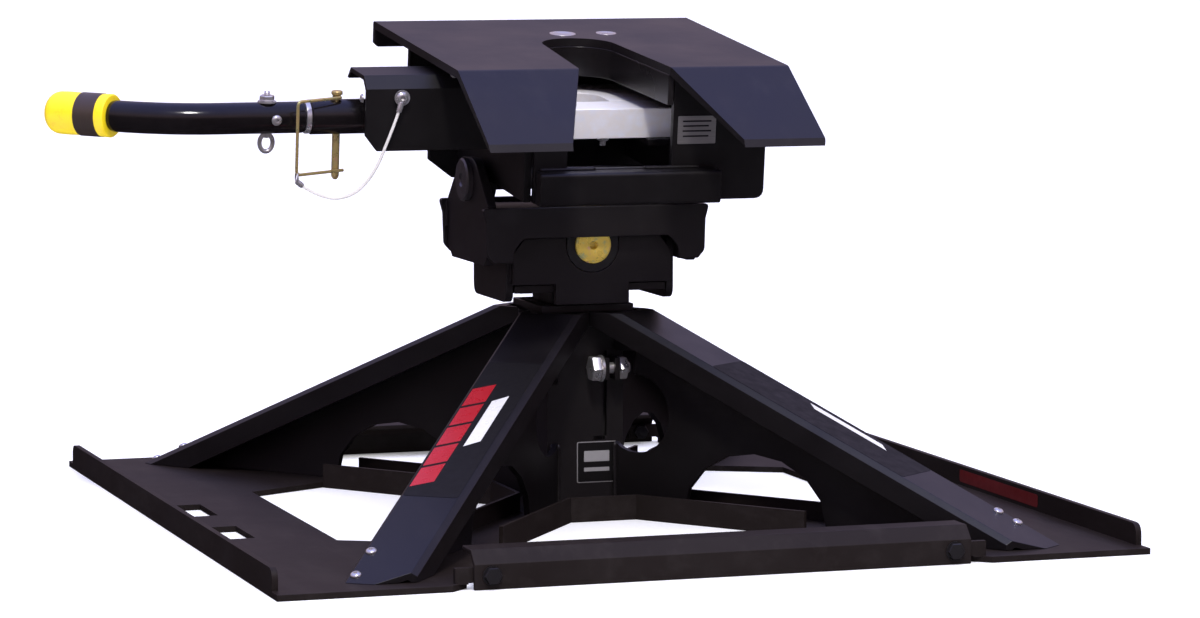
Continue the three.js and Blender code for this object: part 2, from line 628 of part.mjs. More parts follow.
// ---------------------------------------------------------------- head: jaw and slide box
function fixedJaw() {
  const half = head.wallX - head.wall - GAP;
  const shape = new THREE.Shape();
  shape.moveTo(-half, jaw.front);
  shape.lineTo(-half, jaw.rear);
  shape.lineTo(-jaw.pocket, jaw.rear);
  shape.lineTo(-jaw.pocket, jaw.pocketY);
  shape.absarc(0, jaw.pocketY, jaw.pocket, Math.PI, 0, true);
  shape.lineTo(jaw.pocket, jaw.rear);
  shape.lineTo(half, jaw.rear);
  shape.lineTo(half, jaw.front);
  return lying(shape, jaw.bottom, jaw.top - jaw.bottom, 12);
}
addHead("fixed_jaw", zinc(), fixedJaw());

// Rails under the slide bar and the jaw, one each side of the throat.
function barGuide(side) {
  const outer = head.wallX - head.wall - GAP;
  const top = jaw.bottom - GAP;
  const across = sorted(side * guide.inner, side * outer);
  return block(...across, guide.near, guide.far, top - guide.steel, top);
}
addHead("bar_guide_left", blackCoat(), barGuide(-1));
addHead("bar_guide_right", blackCoat(), barGuide(1));

// The far side stops short of the mouth, so only the near side and the top reach the end.
function slideBox() {
  const { near, far, bottom, top, steel, bevel, left } = box;
  const right = -head.wallX - GAP;
  const section = outline([
    [near, bottom], [near + steel, bottom], [near + steel, top - bevel - 2],
    [near + bevel + 2, top - steel], [far - bevel - 2, top - steel], [far - steel, top - bevel - 2],
    [far - steel, bottom], [far, bottom], [far, top - bevel], [far - bevel, top],
    [near + bevel, top], [near, top - bevel],
  ]);
  const corner = outline([[left - 5, bottom + 22], [left - 5, bottom - 5], [left + 16, bottom - 5]]);
  const cornerCut = facing(corner, near - 20, far - near + 40);
  const farCut = block(left - 5, left + box.farCut, far - steel - 5, far + 5, bottom - 5, top - bevel);
  const { x, z, shank } = lanyardBolt;
  const hole = barY(shank + 0.4, x, z, near - 5, near + 10, 12);
  return cut(profile(section, left, right - left), cornerCut, farCut, hole);
}
addHead("slide_box", blackCoat(), slideBox());

function guidePlate() {
  const inset = box.steel + 0.5;
  const [y0, y1] = [box.near + inset, box.far - inset];
  const [z0, z1] = [box.bottom + 3, box.top - 14];
  const shape = outline([[y0, z0], [y1, z0], [y1, z1], [y0, z1]]);
  shape.holes.push(circleHole(handle.y, handle.z, handle.sleeve + 0.7));
  return profile(shape, box.left + box.guide, 6, 12);
}
addHead("guide_plate", blackCoat(), guidePlate());

function lanyardFastener() {
  const { x, z, head: headRadius, shank } = lanyardBolt;
  const button = barY(headRadius, x, z, box.near - 4.2, box.near - GAP, 14);
  return join(button, barY(shank, x, z, box.near - 2, box.near + 9, 12));
}
addHead("lanyard_bolt", zinc(), lanyardFastener());

// ---------------------------------------------------------------- slide bar and handle
addHead("slide_bar", zinc(),
  block(slide.left, slide.right, slide.near, slide.far, jaw.bottom, jaw.top));

function slideShaft() {
  const rod = barX(handle.sleeve, handle.y, handle.z, handle.sleeveEnd, slide.left - GAP, 28);
  return cut(rod, barZ(lockPin.radius + 0.5, lockPin.x, handle.y, 0, 150, 16));
}
addHead("slide_shaft", blackCoat(), slideShaft());
addHead("shaft_ring", zinc(),
  barX(handle.tube + 0.9, handle.y, handle.z, handle.tubeStart + GAP, handle.sleeveEnd - GAP, 28));

// The handle's centre line: straight out of the sleeve, then a sweep forward that drops a little.
class HandlePath extends THREE.Curve {
  constructor() {
    super();
    this.straight = handle.tubeStart - handleBend.start;
    this.arc = handleBend.radius * handleBend.turn;
    this.total = this.straight + this.arc + 9;
  }
  getPoint(u, target = new THREE.Vector3()) {
    const s = u * this.total;
    const { start, radius, drop } = handleBend;
    const turned = THREE.MathUtils.clamp((s - this.straight) / this.arc, 0, 1) * handleBend.turn;
    const rest = Math.max(s - this.straight - this.arc, 0);
    const straight = Math.min(s, this.straight);
    const x = handle.tubeStart - straight - radius * Math.sin(turned) - rest * Math.cos(turned);
    const y = handle.y + radius * (1 - Math.cos(turned)) + rest * Math.sin(turned);
    const fall = Math.max(s - this.straight, 0) / (this.arc + grip.length);
    return target.set(x, y, handle.z - drop * fall * fall);
  }
}
const handlePath = new HandlePath();

function circleShape(radius, sides) {
  const points = [];
  for (let i = 0; i < sides; i += 1) {
    const turn = (2 * Math.PI * i) / sides;
    points.push(new THREE.Vector2(radius * Math.cos(turn), radius * Math.sin(turn)));
  }
  return new THREE.Shape(points);
}

const alongPath = (radius, sides, extrudePath, steps) =>
  new THREE.ExtrudeGeometry(circleShape(radius, sides), { steps, extrudePath, bevelEnabled: false });

function handleTube() {
  const tube = alongPath(handle.tube, 24, handlePath, 16);
  return cut(tube, barZ(eyebolt.hole, eyebolt.x, handle.y, 0, 150, 12));
}
addHead("handle_tube", blackCoat(), handleTube());

function handleGrip() {
  const { length, nose } = grip;
  const outer = handle.grip;
  const points = [[0, 0], [outer - 1.5, 0], [outer, 2]];
  for (let i = 0; i <= 5; i += 1) {
    const turn = (Math.PI / 2) * (i / 5);
    points.push([outer - nose + nose * Math.cos(turn), length - nose + nose * Math.sin(turn)]);
  }
  points.push([0, length]);
  const sleeve = new THREE.LatheGeometry(points.map((p) => new THREE.Vector2(...p)), 28);
  const direction = handlePath.getTangent(1);
  const start = handlePath.getPoint(1).addScaledVector(direction, GAP);
  sleeve.applyQuaternion(new THREE.Quaternion().setFromUnitVectors(axisY, direction));
  return sleeve.translate(start.x, start.y, start.z);
}
addHead("handle_grip", yellowGrip(), handleGrip());

// The eye hangs below the handle, and its nut is on top.
function eyeboltBody() {
  const { x, shank, eye, wire, nut } = eyebolt;
  const { y, z, tube } = handle;
  const nutBody = barZ(nut, x, y, z + tube + GAP, z + tube + 7, 6);
  const shankBody = barZ(shank, x, y, z - tube - 3, z + tube + 11, 12);
  const ring = new THREE.TorusGeometry(eye, wire, 8, 18).rotateX(Math.PI / 2);
  return join(nutBody, shankBody, ring.translate(x, y, z - tube - eye - 2.8));
}
addHead("eyebolt", zinc(), eyeboltBody());

// ---------------------------------------------------------------- lock pin, bail and lanyard
// The pin has a head, and a cross hole under it that the end of the bail's wire turns in.
function pinBody() {
  const { radius, bottom, top } = lockPin;
  const headFoot = bail.top + bail.wire + 0.6;
  const pin = join(barZ(radius, 0, 0, bottom, top - 2, 16), barZ(5.6, 0, 0, headFoot, top, 16));
  const crossHole = barY(bail.wire + 0.35, 0, bail.top, -10, 10, 12).rotateZ(bail.turn);
  return cut(pin, crossHole).translate(lockPin.x, handle.y, 0);
}
addHead("lock_pin", yellowZinc(), pinBody());

// A path through the points with its corners rounded, each by its own radius.
function roundedPath(points, radii) {
  const path = new THREE.CurvePath();
  let from = points[0];
  points.slice(1, -1).forEach((corner, i) => {
    const next = points[i + 2];
    const radius = radii[i];
    const enter = points[i].clone().sub(corner).setLength(radius).add(corner);
    const leave = next.clone().sub(corner).setLength(radius).add(corner);
    path.add(new THREE.LineCurve3(from, enter));
    path.add(new THREE.QuadraticBezierCurve3(enter, corner, leave));
    from = leave;
  });
  path.add(new THREE.LineCurve3(from, points[points.length - 1]));
  return path;
}

// The bail's wire starts in the cross hole, goes out over the handle's sleeve, down and back under
// it. It is drawn beside the pin's axis, and then turned about that axis.
function lockBail() {
  const { reach, top, bottom, wire, aside, turn } = bail;
  const route = [
    [0, 5.5, top], [0, -aside, top], [-reach, -aside, top], [-reach, -aside, bottom], [4, -aside, bottom],
  ];
  const path = roundedPath(route.map((point) => new THREE.Vector3(...point)), [3, 5, 5]);
  const bow = alongPath(wire, 8, path, 76);
  return bow.rotateZ(turn).translate(lockPin.x, handle.y, 0);
}
addHead("lock_bail", yellowZinc(), lockBail());

// The lanyard runs from the bolt on the slide box to the outer lower corner of the bail.
const lanyardRoute = [
  [-207, -85, 99], [-209.5, -86, 91], [-213, -86, 80], [-218, -86, 66], [-223, -85, 52],
  [-228, -84, 38], [-234, -83, 26], [-241, -81, 15], [-250, -79, 6], [-260, -77, 1],
  [-271, -74, -1], [-282, -71, 1], [-292, -69, 5], [-301, -68, 10.5], [-308, -67, 16],
];
function lanyard() {
  const points = lanyardRoute.map((p) => new THREE.Vector3(...p));
  return alongPath(cordRadius, 8, new THREE.CatmullRomCurve3(points, false, "centripetal"), 44);
}
addHead("lanyard", coatedCable(), lanyard());

export default hitch;
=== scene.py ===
import json
import math
import bpy
import bmesh
from mathutils import Matrix, Vector

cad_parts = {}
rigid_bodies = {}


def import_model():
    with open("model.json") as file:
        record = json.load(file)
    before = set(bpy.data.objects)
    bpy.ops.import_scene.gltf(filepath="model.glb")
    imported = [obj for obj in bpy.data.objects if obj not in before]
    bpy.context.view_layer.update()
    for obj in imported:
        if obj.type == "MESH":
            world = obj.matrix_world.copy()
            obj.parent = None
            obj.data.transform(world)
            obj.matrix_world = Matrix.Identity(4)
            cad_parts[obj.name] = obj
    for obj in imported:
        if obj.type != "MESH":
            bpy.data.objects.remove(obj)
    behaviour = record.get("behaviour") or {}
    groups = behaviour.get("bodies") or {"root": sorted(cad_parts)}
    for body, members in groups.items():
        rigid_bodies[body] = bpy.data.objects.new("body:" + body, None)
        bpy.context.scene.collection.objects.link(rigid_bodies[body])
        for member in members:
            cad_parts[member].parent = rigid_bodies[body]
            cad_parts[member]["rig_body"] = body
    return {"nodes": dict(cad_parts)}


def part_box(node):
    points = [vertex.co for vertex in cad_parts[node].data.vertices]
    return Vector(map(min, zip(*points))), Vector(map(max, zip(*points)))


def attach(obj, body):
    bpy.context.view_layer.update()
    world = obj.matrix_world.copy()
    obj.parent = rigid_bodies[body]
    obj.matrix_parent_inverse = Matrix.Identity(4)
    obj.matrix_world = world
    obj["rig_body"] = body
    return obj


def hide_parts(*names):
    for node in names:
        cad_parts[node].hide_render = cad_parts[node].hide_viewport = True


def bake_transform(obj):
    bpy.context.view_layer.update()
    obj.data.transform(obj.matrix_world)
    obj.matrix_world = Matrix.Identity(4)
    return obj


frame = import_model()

scene = bpy.context.scene
nodes = frame["nodes"]
for stray in ("Cube", "Light", "Camera"):
    if stray in bpy.data.objects:
        bpy.data.objects.remove(bpy.data.objects[stray])
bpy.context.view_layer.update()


# ---------------------------------------------------------------- places, in metres, from the frame
x_axis, z_axis = 0, 2


def centre_of(node, axis):
    """The middle of a node's box along one axis."""
    low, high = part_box(node)
    return (low[axis] + high[axis]) / 2


pedestal_x = centre_of("ball_coupler", x_axis)
pitch_height = centre_of("pitch_retainer", z_axis)
roll_height = centre_of("roll_pin", z_axis)
pitch_tilt = math.radians(7)
head_frame = Matrix.Translation((pedestal_x, 0, pitch_height)) @ Matrix.Rotation(pitch_tilt, 4, "X")

# In the head's own frame: the handle's axis, the lock pin and its bail.
handle_y = -0.042
handle_z = 0.075
pin_x = -0.262
bail = {"reach": 0.053, "top": 0.095, "bottom": 0.022, "wire": 0.0016, "aside": 0.0076}
bail_turn = math.radians(22)

# The legs run from the pedestal to the foot plates' corners: run along X, reach along Y.
leg = {"run": 0.333, "reach": 0.439, "top_at": 0.086, "rise": 0.198, "foot": 0.0063}
leg_length = math.hypot(leg["run"], leg["reach"])
leg_slope = leg["rise"] / (leg_length - leg["top_at"])
corners = {
    "left_rear": (-1, -1),
    "right_rear": (1, -1),
    "left_front": (-1, 1),
    "right_front": (1, 1),
}


def aim(origin, direction, parent=Matrix()):
    """A frame at origin whose +Z points along direction, both given in the parent's frame."""
    turn = Vector(direction).to_track_quat("Z", "Y").to_matrix().to_4x4()
    return parent @ Matrix.Translation(origin) @ turn


def on_leg(corner, t, w=0.0):
    """A frame on a leg's top face, t along it and w to its left: +X outwards, +Z off the face."""
    side_x, side_y = corners[corner]
    out = Vector((side_x * leg["run"], side_y * leg["reach"], 0)).normalized()
    along = (out - Vector((0, 0, leg_slope))).normalized()
    across = Vector((-out.y, out.x, 0))
    place = out * t + across * w + Vector((pedestal_x, 0, leg["foot"] + (leg_length - t) * leg_slope))
    basis = Matrix((along, across, along.cross(across))).transposed().to_4x4()
    return Matrix.Translation(place) @ basis


# ---------------------------------------------------------------- camera, fitted to the photograph's view
lens_target = Vector((pedestal_x + 0.0293, 0, 0.2038))
camera_data = bpy.data.cameras.new("camera")
camera_data.sensor_width = 36
camera_data.lens = 130.85
camera_data.clip_end = 200
camera = bpy.data.objects.new("camera", camera_data)
camera.location = (pedestal_x - 1.3722, -4.2203, 0.6579)
camera.rotation_euler = (lens_target - camera.location).to_track_quat("-Z", "Y").to_euler()
scene.collection.objects.link(camera)
scene.camera = camera


# ---------------------------------------------------------------- material building blocks
noise_low, noise_high = 0.3, 0.7


class Shade:
    """One procedural material: a Principled shader and the nodes that feed it."""

    def __init__(self, name, roughness, metallic=0.0, **sockets):
        self.material = bpy.data.materials.new(name)
        self.material.use_nodes = True
        self.tree = self.material.node_tree
        self.shader = self.tree.nodes["Principled BSDF"]
        self.shader.inputs["Roughness"].default_value = roughness
        self.shader.inputs["Metallic"].default_value = metallic
        for socket, value in sockets.items():
            self.shader.inputs[socket.replace("_", " ")].default_value = value
        coordinates = self.tree.nodes.new("ShaderNodeTexCoord")
        self.place = coordinates.outputs["Object"]

    def link(self, source, target):
        self.tree.links.new(source, target)

    def noise(self, scale, detail, stretch=None, rough=0.55):
        """Noise in object space, finer with scale, and drawn out where stretch is small."""
        place = self.place
        if stretch:
            mapping = self.tree.nodes.new("ShaderNodeMapping")
            mapping.inputs["Scale"].default_value = stretch
            self.link(place, mapping.inputs["Vector"])
            place = mapping.outputs["Vector"]
        node = self.tree.nodes.new("ShaderNodeTexNoise")
        node.inputs["Scale"].default_value = scale
        node.inputs["Detail"].default_value = detail
        node.inputs["Roughness"].default_value = rough
        self.link(place, node.inputs["Vector"])
        return node.outputs["Fac"]

    def ramp(self, source, *stops):
        """Colours at positions along the source's values."""
        node = self.tree.nodes.new("ShaderNodeValToRGB")
        elements = node.color_ramp.elements
        for element, (position, colour) in zip(elements, (stops[0], stops[-1])):
            element.position = position
            element.color = (*colour, 1)
        for position, colour in stops[1:-1]:
            elements.new(position).color = (*colour, 1)
        self.link(source, node.inputs["Fac"])
        return node.outputs["Color"]

    def between(self, source, low, high):
        """A number that goes from low to high as a noise goes over most of its range."""
        node = self.tree.nodes.new("ShaderNodeMapRange")
        node.inputs["From Min"].default_value = noise_low
        node.inputs["From Max"].default_value = noise_high
        node.inputs["To Min"].default_value = low
        node.inputs["To Max"].default_value = high
        self.link(source, node.inputs["Value"])
        return node.outputs["Result"]

    def mix(self, factor, first, second):
        """A blend of two colours, each a tuple or a node's output, by the node's colour sockets."""
        node = self.tree.nodes.new("ShaderNodeMix")
        node.data_type = "RGBA"
        self.link(factor, node.inputs["Factor"])
        for socket, value in ((node.inputs[6], first), (node.inputs[7], second)):
            if isinstance(value, tuple):
                socket.default_value = (*value, 1)
            else:
                self.link(value, socket)
        return node.outputs[2]

    def bump(self, *layers):
        """Layers of (height, strength, distance in metres), each on top of the one before."""
        normal = None
        for height, strength, distance in layers:
            node = self.tree.nodes.new("ShaderNodeBump")
            node.inputs["Strength"].default_value = strength
            node.inputs["Distance"].default_value = distance
            self.link(height, node.inputs["Height"])
            if normal:
                self.link(normal, node.inputs["Normal"])
            normal = node.outputs["Normal"]
        self.link(normal, self.shader.inputs["Normal"])

    def color(self, source):
        """Colours the surface."""
        self.link(source, self.shader.inputs["Base Color"])

    def roughness(self, source):
        """Varies the surface's roughness."""
        self.link(source, self.shader.inputs["Roughness"])


# ---------------------------------------------------------------- materials
dust_colour = (1.05, 0.92, 0.88)
dust_film = 0.014
plain_black = (0.0046, 0.0036, 0.0039)


def shaded(colour, share):
    """A colour made darker, by one share or by one for each channel."""
    shares = share if isinstance(share, tuple) else (share,) * 3
    return tuple(c * s for c, s in zip(colour, shares))


def powder_coat(name, dust, tint=plain_black, roughness=0.40, specular=0.5):
    """Black powder coat: orange peel, a little sparkle and a thin film of dust in soft patches."""
    shade = Shade(name, roughness, Specular_IOR_Level=specular)
    peel = shade.noise(620, 2)
    grain = shade.noise(2600, 1)
    clouds = shade.noise(9, 4)
    scuffs = shade.noise(38, 6, (1, 0.18, 1), 0.7)
    dusty = tuple(t + dust * dust_film * c for t, c in zip(tint, dust_colour))
    half_dusty = tuple((a + b) / 2 for a, b in zip(tint, dusty))
    body = shade.mix(shade.between(clouds, 0, 1), tint, half_dusty)
    shade.color(shade.mix(shade.between(scuffs, -0.9, 0.9), body, dusty))
    shade.roughness(shade.between(clouds, roughness - 0.05, roughness + 0.07))
    shade.bump((peel, 0.35, 0.00009), (grain, 0.2, 0.00003))
    return shade.material


def zinc_plate(name, roughness, tint, metallic, rolled=(1, 1, 1)):
    """Zinc plate: bluish and faintly iridescent, with rolling lines and cloudy patches; the tint carries
    painted light for the jaw and painted shade for the pitch shaft.
    """
    shade = Shade(name, roughness, metallic)
    clouds = shade.noise(55, 5)
    lines = shade.noise(240, 3, rolled)
    warm = shaded(tint, (0.97, 0.93, 0.86))
    shade.color(shade.ramp(clouds, (0.3, tint), (0.5, warm), (0.72, shaded(tint, 0.93))))
    shade.roughness(shade.between(clouds, roughness - 0.06, roughness + 0.12))
    shade.bump((lines, 0.12, 0.00006), (shade.noise(1400, 2), 0.12, 0.00002))
    return shade.material


def yellow_zinc(name, gold=(0.62, 0.46, 0.19), metallic=0.7):
    """Yellow chromate over zinc, with its green and pink bloom."""
    shade = Shade(name, 0.3, metallic)
    bloom = shade.noise(130, 4)
    green, pink = (0.42, 0.45, 0.22), (0.66, 0.36, 0.26)
    shade.color(shade.ramp(bloom, (0.3, green), (0.46, gold), (0.6, gold), (0.74, pink)))
    shade.roughness(shade.between(shade.noise(90, 3), 0.2, 0.42))
    shade.bump((shade.noise(900, 2), 0.15, 0.00003))
    return shade.material


def bare_steel(name):
    """Oiled black oxide with turning marks."""
    shade = Shade(name, 0.45, 0.7)
    marks = shade.noise(300, 3, (1, 1, 0.1))
    shade.color(shade.ramp(marks, (0.3, (0.02, 0.02, 0.022)), (0.7, (0.05, 0.047, 0.046))))
    shade.roughness(shade.between(shade.noise(60, 4), 0.35, 0.6))
    shade.bump((marks, 0.2, 0.00005))
    return shade.material


def vinyl(name):
    """Dipped yellow vinyl: glossy, softly uneven, with faint dull rubs."""
    shade = Shade(name, 0.33, Coat_Weight=0.25, Coat_Roughness=0.2)
    rubs = shade.noise(70, 6, (1, 1, 1), 0.75)
    yellow, rubbed = (0.98, 0.74, 0.012), (0.72, 0.52, 0.12)
    deep = shaded(yellow, (0.86, 0.78, 0.6))
    shade.color(shade.ramp(rubs, (0.3, deep), (0.45, yellow), (0.66, yellow), (0.8, rubbed)))
    shade.roughness(shade.between(shade.noise(40, 4), 0.26, 0.44))
    shade.bump((shade.noise(160, 2), 0.25, 0.0003), (shade.noise(1500, 2), 0.1, 0.00004))
    return shade.material


def plastic(name, colour):
    """Moulded plastic with a fine grain."""
    shade = Shade(name, 0.5)
    shade.color(shade.mix(shade.noise(45, 4), colour, shaded(colour, 0.75)))
    shade.roughness(shade.between(shade.noise(30, 3), 0.42, 0.6))
    shade.bump((shade.noise(900, 2), 0.2, 0.00005))
    return shade.material


def printed_film(name, colour, roughness=0.22, coat=0.3, specular=0.5):
    """A printed sticker: smooth film with tiny bubbles, and a clear top where coat is more than 0."""
    shade = Shade(name, roughness, Coat_Weight=coat, Coat_Roughness=0.15, Specular_IOR_Level=specular)
    shade.color(shade.mix(shade.noise(120, 3), colour, shaded(colour, 0.82)))
    shade.roughness(shade.between(shade.noise(80, 3), roughness, roughness + 0.15))
    shade.bump((shade.noise(260, 2), 0.12, 0.00008))
    return shade.material


def brushed_foil(name):
    """Grey metal foil, brushed along X."""
    shade = Shade(name, 0.42, 0.85)
    grain = shade.noise(700, 2, (0.06, 1, 1))
    tint = (0.50, 0.48, 0.47)
    shade.color(shade.ramp(grain, (0.3, shaded(tint, 0.8)), (0.7, tint)))
    shade.bump((grain, 0.2, 0.00004))
    return shade.material


def coated_cable(name):
    """A twisted wire cable seen through its clear coat."""
    shade = Shade(name, 0.28, Coat_Weight=0.6, Coat_Roughness=0.12)
    strands = shade.tree.nodes.new("ShaderNodeTexWave")
    strands.bands_direction = "DIAGONAL"
    strands.inputs["Scale"].default_value = 420
    strands.inputs["Distortion"].default_value = 0.6
    shade.link(shade.place, strands.inputs["Vector"])
    shade.color(shade.ramp(strands.outputs["Fac"], (0.2, (0.60, 0.57, 0.50)), (0.8, (0.86, 0.84, 0.78))))
    shade.bump((strands.outputs["Fac"], 0.3, 0.00012))
    return shade.material


finishes = {
    "bed_plate_coat": powder_coat("bed_plate_coat", 0.6, (0.0115, 0.0079, 0.0067), 0.52, 0.17),
    "leg_coat": powder_coat("leg_coat", 0.25, roughness=0.38),
    "pedestal_coat": powder_coat("pedestal_coat", 0.4, (0.0075, 0.0060, 0.0064)),
    "stool_coat": powder_coat("stool_coat", 0.4, (0.0075, 0.0056, 0.0063)),
    "saddle_coat": powder_coat("saddle_coat", 0.4, (0.0082, 0.0062, 0.0070)),
    "head_coat": powder_coat("head_coat", 0.25),
    "plate_coat": powder_coat("plate_coat", 0.4, (0.0060, 0.0047, 0.0050)),
    "handle_coat": powder_coat("handle_coat", 0.2, roughness=0.17),
    "throat_coat": powder_coat("throat_coat", 0.5, (0.0085, 0.0070, 0.0072), 0.26, 0.6),
    "inner_steel": bare_steel("inner_steel"),
    # The jaw's zinc is near white and barely metallic: rough zinc plating with painted light on it, standing
    # in for direct sun falling through the throat.
    "jaw_zinc": zinc_plate("jaw_zinc", 0.40, (0.94, 0.94, 0.98), 0.22, (0.05, 1, 1)),
    "hardware_zinc": zinc_plate("hardware_zinc", 0.28, (0.74, 0.74, 0.78), 0.85),
    "pin_yellow_zinc": yellow_zinc("pin_yellow_zinc"),
    "roll_pin_yellow_zinc": yellow_zinc("roll_pin_yellow_zinc", (0.80, 0.58, 0.10), 0.4),
    "grip_vinyl": vinyl("grip_vinyl"),
    "bushing_plastic": plastic("bushing_plastic", (0.012, 0.012, 0.013)),
    "lanyard_coat": coated_cable("lanyard_coat"),
}
zinc = finishes["hardware_zinc"]
# A darker copy of the zinc plating: painted shade, standing in for the dark surroundings that the pitch
# shaft's disc reflects.
painted_shade_zinc = zinc_plate("painted_shade_zinc", 0.42, (0.16, 0.155, 0.17), 0.9)
bolt_black = powder_coat("bolt_black", 0.5, (0.009, 0.0082, 0.0088), 0.34)
film_black = printed_film("film_black", (0.0085, 0.0075, 0.0078), 0.48, 0.0, 0.2)
film_grey = printed_film("film_grey", (0.42, 0.41, 0.41), 0.4)
film_red = printed_film("film_red", (0.42, 0.012, 0.018))
film_dark_red = printed_film("film_dark_red", (0.16, 0.006, 0.006), 0.35)
film_white = printed_film("film_white", (0.82, 0.82, 0.80))
band_film = printed_film("band_film", (0.045, 0.030, 0.022), 0.35)
plate_rim = printed_film("plate_rim", (0.30, 0.29, 0.29), 0.4)
label_foil = brushed_foil("label_foil")


# ---------------------------------------------------------------- mesh building blocks
smallest_radius = 1e-5
bevel_from = math.radians(34)
smooth_up_to = math.radians(38)


def circle(count):
    """Angles evenly round a full turn."""
    return [2 * math.pi * i / count for i in range(count)]


class Piece:
    """A mesh piece put together from lathed, swept and extruded solids."""

    def __init__(self):
        self.mesh = bmesh.new()

    def rings(self, rings, closed=False):
        """A skin over rings of points with the same count, capped unless closed on itself."""
        made = [[self.mesh.verts.new(point) for point in ring] for ring in rings]
        count = len(made[0])
        pairs = list(zip(made, made[1:])) + ([(made[-1], made[0])] if closed else [])
        for lower, upper in pairs:
            for i in range(count):
                j = (i + 1) % count
                self.mesh.faces.new((lower[i], lower[j], upper[j], upper[i]))
        if not closed:
            self.mesh.faces.new(list(reversed(made[0])))
            self.mesh.faces.new(made[-1])
        return self

    def lathe(self, profile, place, segments, closed=False):
        """Turns (radius, height) points about the frame's +Z."""
        rings = []
        for radius, height in profile:
            r = max(radius, smallest_radius)
            ring = [Vector((r * math.cos(a), r * math.sin(a), height)) for a in circle(segments)]
            rings.append([place @ point for point in ring])
        return self.rings(rings, closed)

    def rod(self, radius, low, high, place, segments):
        """A plain round bar."""
        return self.lathe([(radius, low), (radius, high)], place, segments)

    def washer(self, inner, outer, low, high, place, segments):
        """A flat ring with a round hole."""
        section = [(inner, low), (outer, low), (outer, high), (inner, high)]
        return self.lathe(section, place, segments, True)

    def hexagon(self, radius, low, high, place, chamfer=0.0008):
        """A six-sided nut or bolt head with its corners turned down at both ends."""
        levels = [(radius * 0.93, low), (radius, low + chamfer)]
        levels += [(radius, high - chamfer), (radius * 0.90, high)]
        return self.lathe(levels, place, 6)

    def thread(self, radius, low, high, place, pitch=0.0016, segments=24):
        """A threaded shank, as a stack of ridges."""
        profile = [(radius * 0.8, low)]
        ridges = max(2, int((high - low) / pitch))
        for i in range(ridges):
            start = low + (high - low) * i / ridges
            profile += [(radius * 0.84, start + 0.1 * pitch), (radius, start + 0.55 * pitch)]
        profile.append((radius * 0.78, high))
        return self.lathe(profile, place, segments)

    def sweep(self, points, radii, sides):
        """A round bar along points, with a radius at each, without twist."""
        points = [Vector(p) for p in points]
        steps = [(b - a).normalized() for a, b in zip(points, points[1:])]
        bisectors = [(a + b).normalized() for a, b in zip(steps, steps[1:])]
        tangents = [steps[0], *bisectors, steps[-1]]
        normal = tangents[0].orthogonal().normalized()
        rings = []
        for point, tangent, radius in zip(points, tangents, radii):
            normal = (normal - tangent * normal.dot(tangent)).normalized()
            side = tangent.cross(normal)
            spokes = [normal * math.cos(a) + side * math.sin(a) for a in circle(sides)]
            rings.append([point + spoke * radius for spoke in spokes])
        return self.rings(rings)

    def slab(self, outline, low, high, place):
        """An outline in the frame's XY, from low to high."""
        return self.rings([[place @ Vector((x, y, z)) for x, y in outline] for z in (low, high)])

    def finish(self, name, material, body, slot, replaces=()):
        """Turns the solids into a finished object."""
        bmesh.ops.recalc_face_normals(self.mesh, faces=self.mesh.faces)
        return settle(name, self.mesh, material, body, replaces)

    def finish_zinc(self, name, body, replaces=()):
        """Finishes the piece as bright zinc hardware."""
        return self.finish(name, zinc, body, "hardware_zinc", replaces)


def round_edges(piece, width):
    """Rounds sharp edges, and keeps the flat faces' shading flat."""
    rounding = piece.modifiers.new("rounding", "BEVEL")
    rounding.width = width
    rounding.segments = 2
    rounding.limit_method = "ANGLE"
    rounding.angle_limit = bevel_from
    normals = piece.modifiers.new("normals", "WEIGHTED_NORMAL")
    normals.mode = "FACE_AREA"
    normals.weight = 60
    evaluated = piece.evaluated_get(bpy.context.evaluated_depsgraph_get())
    rounded = bpy.data.meshes.new_from_object(evaluated)
    piece.modifiers.clear()
    piece.data = rounded


def settle(name, mesh, material, body, replaces, edge_width=0.0):
    """Makes the object, rounds its edges or smooths what is round, and lets it ride on its body."""
    data = bpy.data.meshes.new(name)
    mesh.to_mesh(data)
    mesh.free()
    piece = bpy.data.objects.new(name, data)
    scene.collection.objects.link(piece)
    piece.data.shade_smooth()
    if edge_width:
        round_edges(piece, edge_width)
    else:
        piece.data.set_sharp_from_angle(angle=smooth_up_to)
    piece.data.materials.clear()
    piece.data.materials.append(material)
    if body:
        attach(piece, body)
    if replaces:
        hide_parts(*replaces)
    return piece


def rounded_box(width, length, radius):
    """The outline of a rectangle about the origin with round corners."""
    steps = 4
    points = []
    for corner, (sx, sy) in enumerate(((1, 1), (-1, 1), (-1, -1), (1, -1))):
        for i in range(steps + 1):
            turn = math.pi / 2 * (corner + i / steps)
            x = sx * (width / 2 - radius) + radius * math.cos(turn)
            y = sy * (length / 2 - radius) + radius * math.sin(turn)
            points.append((x, y))
    return points


def smooth_route(points):
    """Points along a smooth curve through the given ones."""
    per_span = 4
    points = [Vector(p) for p in points]
    ends = [points[0] * 2 - points[1], *points, points[-1] * 2 - points[-2]]
    route = []
    for a, b, c, d in zip(ends, ends[1:], ends[2:], ends[3:]):
        for i in range(per_span):
            t = i / per_span
            square, cube = 2 * a - 5 * b + 4 * c - d, 3 * b - a - 3 * c + d
            route.append(0.5 * (2 * b + (c - a) * t + square * t**2 + cube * t**3))
    return [*route, points[-1]]


def round_corners(points, radii):
    """A polyline whose inner corners are curves, each with its own radius."""
    steps = 6
    points = [Vector(p) for p in points]
    route = [points[0]]
    for before, corner, after, radius in zip(points, points[1:], points[2:], radii):
        enter = corner + (before - corner).normalized() * radius
        leave = corner + (after - corner).normalized() * radius
        for i in range(steps + 1):
            t = i / steps
            route.append(enter * (1 - t) ** 2 + corner * 2 * t * (1 - t) + leave * t * t)
    return [*route, points[-1]]


